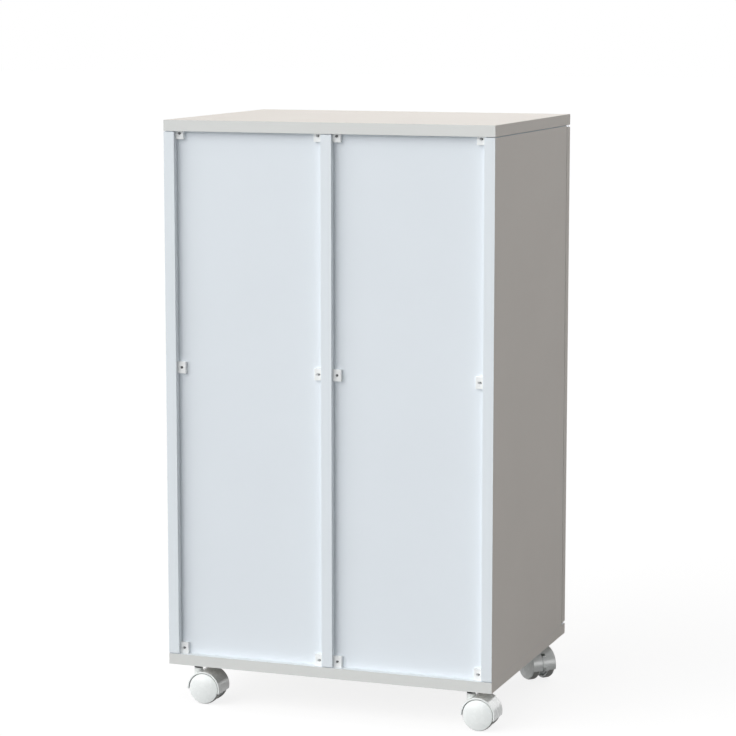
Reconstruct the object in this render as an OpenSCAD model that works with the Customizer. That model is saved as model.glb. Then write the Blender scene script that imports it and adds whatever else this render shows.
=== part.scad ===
// Recycling bin cabinet: two bays with two bins each, behind two full-height doors,
// on four twin-wheel casters. Millimetres, +Z up. The front is -Y and the left is -X,
// as someone who faces the doors sees it. The origin is on the floor, under the middle
// of the outline that the cabinet and its handles cover.

/* [Carcass] */
// Width over the two side panels
body_w = 500; // [460:1:560]
// Depth from the rear edges to the front face of the doors
body_d = 383; // [350:1:430]
// Height from the underside of the bottom panel to the worktop
body_h = 804; // [770:1:900]
// Thickness of the melamine board of carcass and shelves
panel_t = 16; // [16:1:19]

/* [Back] */
// Thickness of the thin back panels
back_t = 3; // [2.5:0.5:4]
// Distance of the back panels' outer face from the rear edges
back_recess = 11; // [9:0.5:14]
// Depth of the groove that holds a back panel's edge
groove_depth = 6; // [4:0.5:6.5]
// Width of a back panel clip
clip_w = 12.7; // [11:0.1:16]
// Height of a back panel clip
clip_h = 17; // [13:0.5:22]
// Thickness of a back panel clip
clip_t = 3; // [2.8:0.1:5]
// Drop of the middle clips' centres below the top panel
clip_drop = 344; // [250:1:420]

/* [Shelves] */
// Distance of the shelves' front edge behind the carcass's front edges
shelf_setback = 5; // [3:1:20]
// Diameter of a shelf pin
shelf_pin_d = 5; // [4:0.5:6]
// Distance of the shelf pins from the carcass's front edges and from the back panel
shelf_pin_setback = 37; // [30:1:60]
// Spacing of the shelf pin holes, one above another
pin_hole_pitch = 32; // [25:1:40]

/* [Doors] */
// Thickness of the doors
door_t = 16; // [15:1:19]
// Gap between the doors' back face and the carcass's front edges
door_gap = 2; // [1.8:0.1:3]
// Gap between the doors' upper edge and the top panel
reveal_top = 3.2; // [3.2:0.1:4]
// Gap between the doors' lower edge and the bottom panel
reveal_bottom = 3.4; // [3.2:0.1:4]
// Gap between the two doors
meeting_gap = 2.4; // [2:0.1:4]
// Distance of the pivot from a door's outer edge
pivot_inset = 5; // [5:0.1:5.4]
// Distance of the pivot behind a door's front face
pivot_depth = 5.5; // [5.2:0.1:5.8]
// Diameter of the pivot pins
pivot_d = 5; // [4:0.5:5]
// Thickness of the hinge leaves
leaf_t = 1.4; // [1:0.1:1.4]
// Length of the hinge leaves, from the pivot
leaf_len = 55; // [45:1:70]

/* [Handles] */
// Projection of the handles from the doors' front face
handle_proj = 24; // [20:1:35]
// Length of a handle's bar
handle_len = 160; // [120:1:220]
// Diameter of a handle's bar
handle_d = 10; // [8:0.5:14]
// Distance between the two posts of a handle
handle_pitch = 96; // [64:1:112]
// Distance of the handles from the cabinet's middle
handle_x = 32; // [24:1:60]
// Drop of the handles' upper end below the top panel
handle_drop = 150; // [60:1:300]

/* [Bins] */
// Clear height between a bin's bag ring and the board above it
bin_headroom = 75; // [50:1:150]
// Wall thickness of a bin
bin_wall = 2.5; // [2:0.1:4]
// Distance of a bin's rim from the boards beside it
bin_side_gap = 9; // [5:1:20]
// Distance of a bin's rim from the carcass's front edges and from the back panel
bin_end_gap = 14; // [8:1:30]
// How much narrower a bin is at its foot, on each side
bin_taper = 10; // [4:1:16]
// Width of the rim that stands out round a bin's mouth
bin_lip = 6; // [4:0.5:9]
// Corner radius of a bin's walls
bin_corner = 22; // [12:1:30]
// Width of a bin's hand-holds
grip_w = 84; // [70:1:110]
// Height of a bin's hand-holds
grip_h = 24; // [20:1:30]

/* [Casters] */
// Diameter of a caster wheel
wheel_d = 47; // [42:1:55]
// Width of a caster wheel, at the middle of its domed cap
wheel_w = 15.2; // [13:0.1:20]
// Gap between the two wheels of a caster
wheel_gap = 14.4; // [14.4:0.1:18]
// Distance of the axle behind the stem
trail = 15.5; // [15:0.5:22]
// Height between a caster's hood and the bottom panel
neck_h = 9; // [7:0.5:14]
// Diameter of a caster's stem
stem_d = 8; // [7:0.5:8.5]
// Diameter of a caster's axle
axle_d = 5; // [4:0.5:6]
// Distance of the stems from the cabinet's sides
caster_inset = 37.5; // [34:0.5:60]
// Distance of the rear stems from the rear edges
caster_rear = 23; // [22.5:0.5:60]
// Distance of the front stems from the doors' front face
caster_front = 56; // [50:0.5:90]

/* [Hidden] */

$fn = 48;
sides = [-1, 1];
left = -1;
right = 1;
upper = 1;
lower = 0;

// Clearances
fit = 0.06;        // radial play of a pin that turns in its bore
slip = 0.05;       // radial play of a fastener in its hole
loose = 0.3;       // gap between pieces that move past each other
over = 1;          // how far a cut runs past the face that it opens

// Colours
board_white = "#f1f0ec";
back_white = "#eef1f4";
plastic_white = "#f4f4f2";
steel = "#b9bcbf";
satin_steel = "#a9abad";
bin_grey = "#54585c";
rubber = "#d9dcdc";
ring_colours = ["#3f7f4f", "#2f6c9c", "#d3a72c", "#7b7d80"];

// Casters, from the floor up
wheel_r = wheel_d / 2;
wheel_clear = 0.4;
hood_wall = 1.6;
hood_r = wheel_r + wheel_clear + hood_wall;
cap_proud = 2.4;       // how far a wheel's cap stands out of the hood
hood_half = wheel_gap / 2 + wheel_w - cap_proud;
cheek_t = 2.3;
cheek_drop = 14;
cheek_low_r = wheel_r - 4;
hub_d = axle_d + 7;
skirt_front = 1.5;     // drop of the hood's edge below the axle, in front and behind
skirt_rear = 6.5;
hood_top = wheel_r + hood_r;
caster_h = hood_top + neck_h;
boss_d = stem_d + 5;
boss_foot = wheel_r - 1.5;
stem_foot = boss_foot + 2;
flange_t = 1.2;
flange_d = stem_d + 5;
sleeve_d = stem_d + 3;
sleeve_l = 12;
neck_rise = 2;         // how far the neck rises above the hood
neck_top = hood_top + neck_rise;
collar_foot = neck_top + loose;
collar_d = boss_d;
// A wheel is a cup that is open towards the caster's middle
dome_h = 3;
dome_r = wheel_r - 1.5;
dome_steps = 6;
rim_t = 1.4;
cap_t = 4.7;
tread_t = 3.5;
tread_round = 1;
wheel_hub_r = axle_d / 2 + 3;
wheel_in = wheel_gap / 2;
wheel_out = wheel_in + wheel_w;
bore_end = wheel_out - cap_t;
// Side, end and the direction in which the wheels trail
rear_left = [-1, 1, 180];
rear_right = [1, 1, 180];
front_left = [-1, -1, 138];
front_right = [1, -1, 330];
casters = [rear_left, rear_right, front_left, front_right];

// Brake levers on the front casters
lever_w = 6;
lever_gap = 0.4;
lever_pin_d = 2.5;
lever_in = hood_r - 6.5;
lever_out = hood_r + 0.6;
lever_pin_r = hood_r - 4.5;
lever_pin_angle = 30;
lever_low = -9;        // the lever runs from this angle to the next, up from the axle's level
lever_high = 36;
slot_high = 52;
toe_out = hood_r + 7;
toe_t = 4;
ridge_out = hood_r + 2.4;
ridge_t = 2.2;

// Outline
half_w = body_w / 2;
y_rear = (body_d + handle_proj) / 2;
y_front = y_rear - body_d;
y_door_back = y_front + door_t;
y_case = y_door_back + door_gap;
case_d = y_rear - y_case;
z_base = caster_h;
z_floor_in = z_base + panel_t;
z_top = z_base + body_h;
z_top_in = z_top - panel_t;
inner_h = z_top_in - z_floor_in;
bay_w = (body_w - 3 * panel_t) / 2;
bay_x = (panel_t + bay_w) / 2;
upright_x = half_w - panel_t / 2;
caster_x = half_w - caster_inset;
y_caster_rear = y_rear - caster_rear;
y_caster_front = y_front + caster_front;

// Back panels and their clips
y_back = y_rear - back_recess;
y_back_in = y_back - back_t;
groove_play = 0.2;
back_play = 0.5;
clip_top_drop = 3.4;   // drop of the topmost clips' screws below the top panel
clip_z = [z_top_in - clip_top_drop, z_top_in - clip_drop, z_floor_in + clip_h / 2];
clip_chamfer = 0.5;
clip_screw_d = 2.4;
clip_screw_len = 18;
clip_head_d = 4;
clip_head_sunk = 1.5;
clip_head_h = 1.2;

// Shelves
shelf_play = 0.5;
shelf_drop = (inner_h - panel_t) / 2;
z_shelf_top = z_top_in - shelf_drop;
z_shelf = z_shelf_top - panel_t;
shelf_pin_y = [y_case + shelf_pin_setback, y_back_in - shelf_pin_setback];
shelf_pin_in = 7;
shelf_pin_foot = 7;
shelf_pin_foot_h = 5;

// Cam fittings and dowels that join the uprights to the top and bottom panels
cam_d = 15;
cam_depth = 12.3;
cam_reach = 24;
cam_slot_w = 1.6;
cam_slot_l = 9;
cam_slot_h = 1.5;
cam_setback = 50;
cam_y = [y_case + cam_setback, y_rear - cam_setback];
bolt_d = 6;
bolt_thread_d = 5;
bolt_thread_len = 10;
bolt_head_play = 0.7;
dowel_d = 8;
dowel_in_panel = 11;
dowel_in_upright = 17;
dowel_setback = 95;
dowel_y = [y_case + dowel_setback, y_rear - dowel_setback];
hole_end = 0.5;

// Hinges
pivot_x = half_w - pivot_inset;
y_pivot = y_front + pivot_depth;
leaf_w = 9;
pivot_in_door = 9;
leaf_screws = [20, 45];
leaf_screw_d = 2.8;
leaf_screw_head_d = 5.2;
leaf_screw_len = 9;

// Doors
door_w = half_w - meeting_gap / 2;
z_door = z_floor_in + reveal_bottom;
z_door_top = z_top_in - reveal_top;

// Catches and bumpers
strike_w = 36;
strike_h = 9;
strike_t = 1.2;
strike_drop = 3;
strike_screw_d = 2.6;
strike_screw_len = 9;
catch_w = 42;
catch_h = 13;
catch_d = 14;
catch_from_divider = 6;
catch_x = panel_t / 2 + catch_from_divider + catch_w / 2;
y_catch = y_door_back + strike_t + loose;
catch_screw_pitch = 28;
catch_screw_d = 2.8;
catch_screw_head_d = 5.2;
catch_screw_head_h = 1.4;
catch_screw_len = 10;
catch_flange = 2.5;
bumper_d = 6;
bumper_x = panel_t / 4;
bumper_t = door_gap - loose;
bumper_end = 60;

// Handles
handle_z = z_top_in - handle_drop - handle_len / 2;
post_d = handle_d - 2;
bar_y = -(handle_proj - handle_d / 2);
handle_screw_d = 4;
handle_screw_in = 10;
handle_screw_head_d = 8;
handle_screw_head_h = door_gap - loose;

// Bins: the rim is set out from the bay, and the body from the rim
rim_w = bay_w - 2 * bin_side_gap;
rim_d = y_back_in - y_case - 2 * bin_end_gap;
bin_top_w = rim_w - 2 * bin_lip;
bin_top_d = rim_d - 2 * bin_lip;
bin_y = (y_case + y_back_in) / 2;
lip_t = 3;
skirt_h = 10;
skirt_t = 2;
slab = 0.5;
grip_drop = 26;
foot_t = 3.5;
ring_t = 3;
bin_h = shelf_drop - bin_headroom - ring_t;
ring_skirt_h = 12;
ring_skirt_t = 2;
ring_play = 0.4;

module mirrored(side) {
    mirror([side < 0 ? 1 : 0, 0, 0]) children();
}

// A countersunk screw whose head lies in a plate of thickness t: its head points to -Z
module flat_screw(head_d, shank_d, t, reach, play) {
    cylinder(d1 = head_d + 2 * play, d2 = shank_d + 2 * play, h = t);
    translate([0, 0, t - 0.01]) cylinder(d = shank_d + 2 * play, h = reach + 0.01);
}

// Back panel grooves, cut from every board that holds a back panel's edge
module back_grooves() {
    for (bay = sides)
        translate([
            bay * bay_x - bay_w / 2 - groove_depth,
            y_back_in - groove_play,
            z_floor_in - groove_depth
        ])
            cube([bay_w + 2 * groove_depth, back_t + 2 * groove_play, inner_h + 2 * groove_depth]);
}

// Each place of a clip: the wall of the bay is at x = 0 and the bay lies on the +X side
module at_clips(bays) {
    for (bay = bays, wall = sides, z = clip_z)
        translate([bay * bay_x + wall * bay_w / 2, y_back, z])
            mirror([wall > 0 ? 1 : 0, 0, 0])
                children();
}

// The line of a clip's screw, which runs slantwise into the board beside the clip
module along_clip_screw() {
    translate([clip_w / 2, clip_t, 0]) rotate([90, 0, -45]) children();
}

module clip_screw(play) {
    along_clip_screw() translate([0, 0, clip_head_sunk]) {
        cylinder(d = clip_head_d + 2 * play, h = clip_head_h);
        cylinder(d = clip_screw_d + 2 * play, h = clip_screw_len + play);
    }
}

// Each place of a shelf pin, with the +X axis into the board and z = 0 at the shelf's underside
module at_shelf_pins(bays) {
    for (bay = bays, wall = sides, y = shelf_pin_y)
        translate([bay * bay_x + wall * bay_w / 2, y, z_shelf])
            rotate([0, 0, wall > 0 ? 0 : 180])
                children();
}

// Three holes for each pin, so that the shelf can be set lower or higher
module shelf_pin_holes() {
    at_shelf_pins(sides)
        for (step = [-1, 0, 1])
            translate([-over, 0, step * pin_hole_pitch - shelf_pin_d / 2])
                rotate([0, 90, 0])
                    cylinder(d = shelf_pin_d + 2 * slip, h = over + shelf_pin_in + hole_end);
}

// Each end of an upright, with z = 0 where the upright meets the panel and +Z into the upright
module at_upright_ends(xs, ends) {
    for (x = xs, end = ends)
        translate([x, 0, end == upper ? z_top_in : z_floor_in])
            mirror([0, 0, end == upper ? 1 : 0])
                children();
}

module bolts_and_dowels(play, end_play) {
    for (y = cam_y) {
        translate([0, y, -bolt_thread_len - end_play])
            cylinder(d = bolt_thread_d + 2 * play, h = bolt_thread_len + end_play);
        translate([0, y, 0]) cylinder(d = bolt_d + 2 * play, h = cam_reach);
    }
    for (y = dowel_y)
        translate([0, y, -dowel_in_panel - end_play])
            cylinder(d = dowel_d + 2 * play, h = dowel_in_panel + dowel_in_upright + 2 * end_play);
}

// Which way an upright's cams face: inward on the side panels, to the right on the divider
function cam_face(x) = x > 0 ? -1 : 1;

module at_cams(xs) {
    for (x = xs, end = [lower, upper], y = cam_y)
        translate([
            x + cam_face(x) * panel_t / 2,
            y,
            end == upper ? z_top_in - cam_reach : z_floor_in + cam_reach
        ])
            rotate([0, -90 * cam_face(x), 0])
                children();
}

module upright(x) {
    color(board_white)
        difference() {
            translate([x - panel_t / 2, y_case, z_floor_in]) cube([panel_t, case_d, inner_h]);
            back_grooves();
            at_clips(sides) clip_screw(slip);
            shelf_pin_holes();
            at_upright_ends([x], [lower, upper]) bolts_and_dowels(slip, hole_end);
            at_cams([x])
                translate([0, 0, -over]) cylinder(d = cam_d + 2 * slip, h = cam_depth + over);
        }
}

// Each hinge: the pivot is at the origin, on the panel's face, +X runs along the door
// and +Z runs from the panel into the door
module at_hinges(side, ends) {
    for (end = ends)
        translate([side * pivot_x, y_pivot, end == upper ? z_top_in : z_floor_in])
            mirror([side > 0 ? 1 : 0, 0, 0])
                mirror([0, 0, end == upper ? 1 : 0])
                    children();
}

function reveal(end) = end == upper ? reveal_top : reveal_bottom;

module leaf() {
    difference() {
        union() {
            cylinder(d = leaf_w, h = leaf_t);
            translate([0, -leaf_w / 2, 0]) cube([leaf_len, leaf_w, leaf_t]);
        }
        children();
    }
}

module fixed_leaf_screws(play) {
    for (x = leaf_screws)
        translate([x, 0, leaf_t])
            mirror([0, 0, 1])
                flat_screw(leaf_screw_head_d, leaf_screw_d, leaf_t, leaf_screw_len, play);
}

module door_leaf_screws(play) {
    for (x = leaf_screws)
        translate([x, 0, 0])
            flat_screw(leaf_screw_head_d, leaf_screw_d, leaf_t, leaf_screw_len, play);
}

module catch_screws(play) {
    for (side = sides, k = sides)
        translate([
            side * catch_x + k * catch_screw_pitch / 2,
            y_catch + catch_d / 2,
            z_top_in - catch_flange
        ]) {
            translate([0, 0, -catch_screw_head_h])
                cylinder(d = catch_screw_head_d + 2 * play, h = catch_screw_head_h);
            translate([0, 0, -0.01])
                cylinder(d = catch_screw_d + 2 * play, h = catch_screw_len + play);
        }
}

module flat_panel(z, end) {
    color(board_white)
        difference() {
            translate([-half_w, y_front, z]) cube([body_w, body_d, panel_t]);
            back_grooves();
            at_upright_ends([-upright_x, 0, upright_x], [end]) bolts_and_dowels(slip, hole_end);
            for (side = sides) at_hinges(side, [end]) fixed_leaf_screws(slip);
            children();
        }
}

module top_panel() {
    flat_panel(z_top_in, upper) catch_screws(slip);
}

module bottom_panel() {
    flat_panel(z_base, lower)
        at_stems()
            translate([0, 0, -over])
                cylinder(d = sleeve_d + 2 * slip, h = over + sleeve_l + hole_end);
}

module back_panel(bay) {
    color(back_white)
        difference() {
            translate([
                bay * bay_x - bay_w / 2 - groove_depth + back_play,
                y_back_in,
                z_floor_in - groove_depth + back_play
            ])
                cube([
                    bay_w + 2 * (groove_depth - back_play),
                    back_t,
                    inner_h + 2 * (groove_depth - back_play)
                ]);
            at_clips([bay]) clip_screw(slip);
        }
}

// The topmost clips are cut off where they meet the top panel
module back_panel_clips() {
    color(plastic_white)
        difference() {
            at_clips(sides)
                translate([0, 0, -clip_h / 2])
                    linear_extrude(clip_h)
                        polygon([
                            [0, 0],
                            [clip_w, 0],
                            [clip_w, clip_t - clip_chamfer],
                            [clip_w - clip_chamfer, clip_t],
                            [0, clip_t]
                        ]);
            at_clips(sides) {
                clip_screw(slip);
                along_clip_screw()
                    translate([0, 0, clip_head_sunk - 2 * clip_head_d])
                        cylinder(d = clip_head_d + 2 * slip, h = 2 * clip_head_d);
            }
            translate([-half_w, y_back - over, z_top_in]) cube([body_w, clip_t + 2 * over, clip_h]);
        }
}

module clip_screws() {
    color(steel) at_clips(sides) clip_screw(0);
}

module shelf(bay) {
    color(board_white)
        translate([bay * bay_x - bay_w / 2 + shelf_play, y_case + shelf_setback, z_shelf])
            cube([
                bay_w - 2 * shelf_play,
                y_back_in - y_case - shelf_setback - 2 * shelf_play,
                panel_t
            ]);
}

module shelf_pins() {
    color(steel)
        at_shelf_pins(sides) {
            translate([-0.01, 0, -shelf_pin_d / 2])
                rotate([0, 90, 0])
                    cylinder(d = shelf_pin_d, h = shelf_pin_in);
            translate([-shelf_pin_foot, -shelf_pin_foot / 2, -shelf_pin_foot_h])
                cube([shelf_pin_foot, shelf_pin_foot, shelf_pin_foot_h]);
        }
}

module cam_locks() {
    color(satin_steel)
        difference() {
            at_cams([-upright_x, 0, upright_x])
                difference() {
                    cylinder(d = cam_d, h = cam_depth);
                    translate([-cam_slot_l / 2, -cam_slot_w / 2, -over])
                        cube([cam_slot_l, cam_slot_w, cam_slot_h + over]);
                }
            at_upright_ends([-upright_x, 0, upright_x], [lower, upper])
                for (y = cam_y)
                    translate([0, y, 0])
                        cylinder(d = bolt_d + 2 * bolt_head_play, h = cam_reach + bolt_head_play);
        }
}

module cam_bolts() {
    color(steel)
        at_upright_ends([-upright_x, 0, upright_x], [lower, upper])
            for (y = cam_y) {
                translate([0, y, -bolt_thread_len])
                    cylinder(d = bolt_thread_d, h = bolt_thread_len + 0.01);
                translate([0, y, 0]) cylinder(d = bolt_d, h = cam_reach);
            }
}

module dowels() {
    color("#cfb58a")
        at_upright_ends([-upright_x, 0, upright_x], [lower, upper])
            for (y = dowel_y)
                translate([0, y, -dowel_in_panel])
                    cylinder(d = dowel_d, h = dowel_in_panel + dowel_in_upright);
}

module hinge_fixed_leaves() {
    color(steel)
        for (side = sides, end = [lower, upper])
            at_hinges(side, [end]) {
                leaf() fixed_leaf_screws(slip);
                translate([0, 0, leaf_t - 0.01])
                    cylinder(d = pivot_d, h = reveal(end) - leaf_t + pivot_in_door + 0.01);
            }
}

module case_screws() {
    color(satin_steel) {
        for (side = sides) at_hinges(side, [lower, upper]) fixed_leaf_screws(0);
        catch_screws(0);
    }
}

module magnetic_catches() {
    color(plastic_white)
        difference() {
            for (side = sides) {
                translate([side * catch_x - catch_w / 2, y_catch, z_top_in - catch_flange])
                    cube([catch_w, catch_d, catch_flange]);
                translate([side * catch_x - catch_screw_pitch / 2 + catch_screw_head_d, y_catch, z_top_in - catch_h])
                    cube([catch_screw_pitch - 2 * catch_screw_head_d, catch_d, catch_h]);
            }
            catch_screws(slip);
        }
}

module door_bumpers() {
    color(rubber)
        for (side = sides, z = [z_floor_in + bumper_end, z_top_in - bumper_end])
            translate([side * bumper_x, y_case, z])
                rotate([90, 0, 0])
                    cylinder(d = bumper_d, h = bumper_t);
}

// An outline with round corners, centred on the origin
module round_plate(w, d, r, t) {
    linear_extrude(t)
        offset(r = r, $fn = 32)
            square([w - 2 * r, d - 2 * r], center = true);
}

// A bin's tapered body, set in by a wall thickness where it is the hollow
module bin_body(inset, z_from, z_to) {
    foot = bin_taper + inset;
    r = bin_corner - inset;
    hull() {
        translate([0, 0, z_from])
            round_plate(bin_top_w - 2 * foot, bin_top_d - 2 * foot, r - bin_taper / 2, slab);
        translate([0, 0, z_to - slab])
            round_plate(bin_top_w - 2 * inset, bin_top_d - 2 * inset, r, slab);
    }
}

// A slot with round ends through a bin's front and rear walls, to lift it by
module grip_cut() {
    half = (grip_w - grip_h) / 2;
    translate([0, 0, bin_h - grip_drop - grip_h / 2])
        rotate([90, 0, 0]) {
            for (side = sides)
                translate([side * half, 0, 0]) cylinder(d = grip_h, h = 2 * rim_d, center = true);
            cube([2 * half, grip_h, 2 * rim_d], center = true);
        }
}

module at_bin(side, level) {
    translate([side * bay_x, bin_y, level == upper ? z_shelf_top : z_floor_in]) children();
}

module bin(side, level) {
    color(bin_grey)
        at_bin(side, level)
            difference() {
                union() {
                    bin_body(0, 0, bin_h);
                    translate([0, 0, bin_h - lip_t])
                        round_plate(rim_w, rim_d, bin_corner + bin_lip, lip_t);
                    translate([0, 0, bin_h - skirt_h])
                        difference() {
                            round_plate(rim_w, rim_d, bin_corner + bin_lip, skirt_h);
                            translate([0, 0, -over])
                                round_plate(
                                    rim_w - 2 * skirt_t, rim_d - 2 * skirt_t,
                                    bin_corner + bin_lip - skirt_t, skirt_h + 2 * over
                                );
                        }
                }
                bin_body(bin_wall, foot_t, bin_h + over);
                grip_cut();
            }
}

module bag_ring(side, level, tint) {
    hole_w = bin_top_w - 2 * bin_wall;
    hole_d = bin_top_d - 2 * bin_wall;
    hole_r = bin_corner - bin_wall;
    play = ring_play + ring_skirt_h * bin_taper / bin_h;
    out_w = hole_w - 2 * play;
    out_d = hole_d - 2 * play;
    out_r = hole_r - play;
    color(tint)
        at_bin(side, level)
            translate([0, 0, bin_h])
                difference() {
                    union() {
                        round_plate(rim_w, rim_d, bin_corner + bin_lip, ring_t);
                        translate([0, 0, -ring_skirt_h])
                            round_plate(out_w, out_d, out_r, ring_skirt_h + ring_t);
                    }
                    translate([0, 0, -ring_skirt_h - over])
                        round_plate(
                            out_w - 2 * ring_skirt_t, out_d - 2 * ring_skirt_t,
                            out_r - ring_skirt_t, ring_skirt_h + ring_t + 2 * over
                        );
                }
}

// The handle's two posts, with z = 0 on the door's front face and +Z into the door
module at_handle_posts(side) {
    for (k = sides)
        translate([side * handle_x, y_front, handle_z + k * handle_pitch / 2])
            rotate([-90, 0, 0])
                children();
}

module handle_screw(play) {
    translate([0, 0, -handle_screw_in - play])
        cylinder(d = handle_screw_d + 2 * play, h = handle_screw_in + door_t + play);
    translate([0, 0, door_t - 0.01])
        cylinder(d = handle_screw_head_d, h = handle_screw_head_h + 0.01);
}

module strike_screw(side, play) {
    translate([side * catch_x, y_door_back + strike_t, z_door_top - strike_drop - strike_h / 2])
        rotate([90, 0, 0])
            flat_screw(strike_screw_d + 2, strike_screw_d, strike_t, strike_screw_len, play);
}

module door(side) {
    color(board_white)
        difference() {
            mirrored(side)
                translate([meeting_gap / 2, y_front, z_door])
                    cube([door_w, door_t, z_door_top - z_door]);
            for (end = [lower, upper])
                at_hinges(side, [end]) {
                    translate([0, 0, reveal(end) - over])
                        cylinder(d = pivot_d + 2 * fit, h = pivot_in_door + over + hole_end);
                    translate([0, 0, reveal(end) - leaf_t]) door_leaf_screws(slip);
                }
            at_handle_posts(side) handle_screw(slip);
            strike_screw(side, slip);
        }
}

module door_leaves(side) {
    color(steel)
        for (end = [lower, upper])
            at_hinges(side, [end])
                translate([0, 0, reveal(end) - leaf_t])
                    leaf() {
                        translate([0, 0, -over]) cylinder(d = pivot_d + 2 * fit, h = leaf_t + 2 * over);
                        door_leaf_screws(slip);
                    }
}

module handle(side) {
    color(satin_steel)
        difference() {
            union() {
                translate([side * handle_x, y_front + bar_y, handle_z - handle_len / 2])
                    cylinder(d = handle_d, h = handle_len);
                at_handle_posts(side) translate([0, 0, bar_y]) cylinder(d = post_d, h = -bar_y);
            }
            at_handle_posts(side)
                translate([0, 0, -handle_screw_in - hole_end])
                    cylinder(d = handle_screw_d + 2 * slip, h = handle_screw_in + hole_end + over);
        }
}

module strike_plate(side) {
    color(steel)
        difference() {
            translate([
                side * catch_x - strike_w / 2,
                y_door_back,
                z_door_top - strike_drop - strike_h
            ])
                cube([strike_w, strike_t, strike_h]);
            strike_screw(side, slip);
        }
}

module door_screws(side) {
    color(satin_steel) {
        for (end = [lower, upper])
            at_hinges(side, [end]) translate([0, 0, reveal(end) - leaf_t]) door_leaf_screws(0);
        at_handle_posts(side) handle_screw(0);
        strike_screw(side, 0);
    }
}

// A caster's stem axis is at the origin, on the floor, and its wheels trail to +X
module at_caster(caster) {
    translate([caster[0] * caster_x, caster[1] > 0 ? y_caster_rear : y_caster_front, 0])
        rotate([0, 0, caster[2]])
            children();
}

// The underside of the bottom panel over each stem
module at_stems() {
    for (caster = casters)
        at_caster(caster) translate([0, 0, z_base]) children();
}

// A sleeve with a flange, pressed into the bottom panel, holds each stem
module caster_sockets() {
    color(steel)
        at_stems()
            difference() {
                union() {
                    translate([0, 0, -flange_t]) cylinder(d = flange_d, h = flange_t);
                    translate([0, 0, -0.01]) cylinder(d = sleeve_d, h = sleeve_l + 0.01);
                }
                translate([0, 0, -flange_t - over])
                    cylinder(d = stem_d + 2 * slip, h = flange_t + sleeve_l + 2 * over);
            }
}

module caster_stems() {
    color(satin_steel)
        at_stems() {
            translate([0, 0, stem_foot - z_base])
                cylinder(d = stem_d, h = z_base - stem_foot + sleeve_l);
            translate([0, 0, collar_foot - z_base])
                cylinder(d = collar_d, h = z_base - flange_t - collar_foot);
        }
}

// The axle's line: z = 0 midway between the wheels, +Z to the caster's +Y side,
// +X to the rear and -Y up
module along_axle() {
    translate([trail, 0, wheel_r]) rotate([-90, 0, 0]) children();
}

// A sector round the axle between two angles, which are counted up from the axle's level
module sector(r_in, r_out, low, high, w) {
    far = 2 * r_out;
    linear_extrude(w, center = true)
        intersection() {
            difference() {
                circle(r_out);
                circle(r_in);
            }
            polygon([
                [0, 0],
                [far * cos(low), -far * sin(low)],
                [far * cos((low + high) / 2), -far * sin((low + high) / 2)],
                [far * cos(high), -far * sin(high)]
            ]);
        }
}

// What lies above the hood's lower edge, which slopes down to the rear
module above_skirt() {
    reach = 2 * hood_r;
    slope = (skirt_rear - skirt_front) / (2 * hood_r);
    middle = (skirt_rear + skirt_front) / 2;
    translate([trail, 0, wheel_r])
        rotate([90, 0, 0])
            linear_extrude(4 * hood_half, center = true)
                polygon([
                    [-reach, reach * slope - middle],
                    [reach, -reach * slope - middle],
                    [reach, reach],
                    [-reach, reach]
                ]);
}

module cheeks(r) {
    along_axle()
        for (k = sides)
            translate([0, 0, k * (lever_w / 2 + lever_gap + cheek_t / 2)])
                cylinder(r = r, h = cheek_t, center = true);
}

// A drum over both wheels, two cheeks between them that carry the axle, and a neck for the stem
module hood(caster, braked) {
    color(plastic_white)
        at_caster(caster)
            difference() {
                union() {
                    intersection() {
                        along_axle()
                            difference() {
                                cylinder(r = hood_r, h = 2 * hood_half, center = true);
                                cylinder(r = hood_r - hood_wall, h = 2 * hood_half + over, center = true);
                            }
                        above_skirt();
                    }
                    intersection() {
                        cheeks(hood_r - hood_wall / 2);
                        above_skirt();
                    }
                    intersection() {
                        cheeks(cheek_low_r);
                        translate([trail - 2 * hood_r, -2 * hood_half, wheel_r - cheek_drop])
                            cube([4 * hood_r, 4 * hood_half, 2 * hood_r]);
                    }
                    along_axle() cylinder(d = hub_d, h = wheel_gap - 2 * loose, center = true);
                    translate([0, 0, boss_foot]) cylinder(d = boss_d, h = neck_top - boss_foot);
                }
                translate([0, 0, stem_foot - loose])
                    cylinder(d = stem_d + 2 * fit, h = caster_h);
                along_axle() cylinder(d = axle_d + 2 * slip, h = wheel_gap + over, center = true);
                if (braked) {
                    at_lever_pin() cylinder(d = lever_pin_d + 2 * slip, h = wheel_gap, center = true);
                    along_axle()
                        sector(
                            hood_r - hood_wall - over, hood_r + over,
                            2 * lever_low, slot_high, lever_w + 2 * lever_gap
                        );
                }
            }
}

module at_lever_pin() {
    along_axle()
        translate([lever_pin_r * cos(lever_pin_angle), -lever_pin_r * sin(lever_pin_angle), 0])
            children();
}

// The lever stands in the slot between the wheels: a toe to press and a ridge to lift it by
module brake_lever(caster) {
    color(plastic_white)
        at_caster(caster)
            difference() {
                along_axle() {
                    sector(lever_in, lever_out, lever_low, lever_high, lever_w);
                    rotate([0, 0, -lever_low])
                        translate([lever_out - over, -toe_t, -lever_w / 2])
                            cube([toe_out - lever_out + over, toe_t, lever_w]);
                    rotate([0, 0, -lever_high])
                        translate([lever_out - over, 0, -lever_w / 2])
                            cube([ridge_out - lever_out + over, ridge_t, lever_w]);
                }
                at_lever_pin() cylinder(d = lever_pin_d + 2 * fit, h = 2 * lever_w, center = true);
            }
}

module axle(caster, braked) {
    reach = bore_end - hole_end;
    color(steel)
        at_caster(caster) {
            along_axle() cylinder(d = axle_d, h = 2 * reach, center = true);
            if (braked)
                at_lever_pin()
                    cylinder(
                        d = lever_pin_d, h = lever_w + 2 * (lever_gap + cheek_t), center = true
                    );
        }
}

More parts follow.
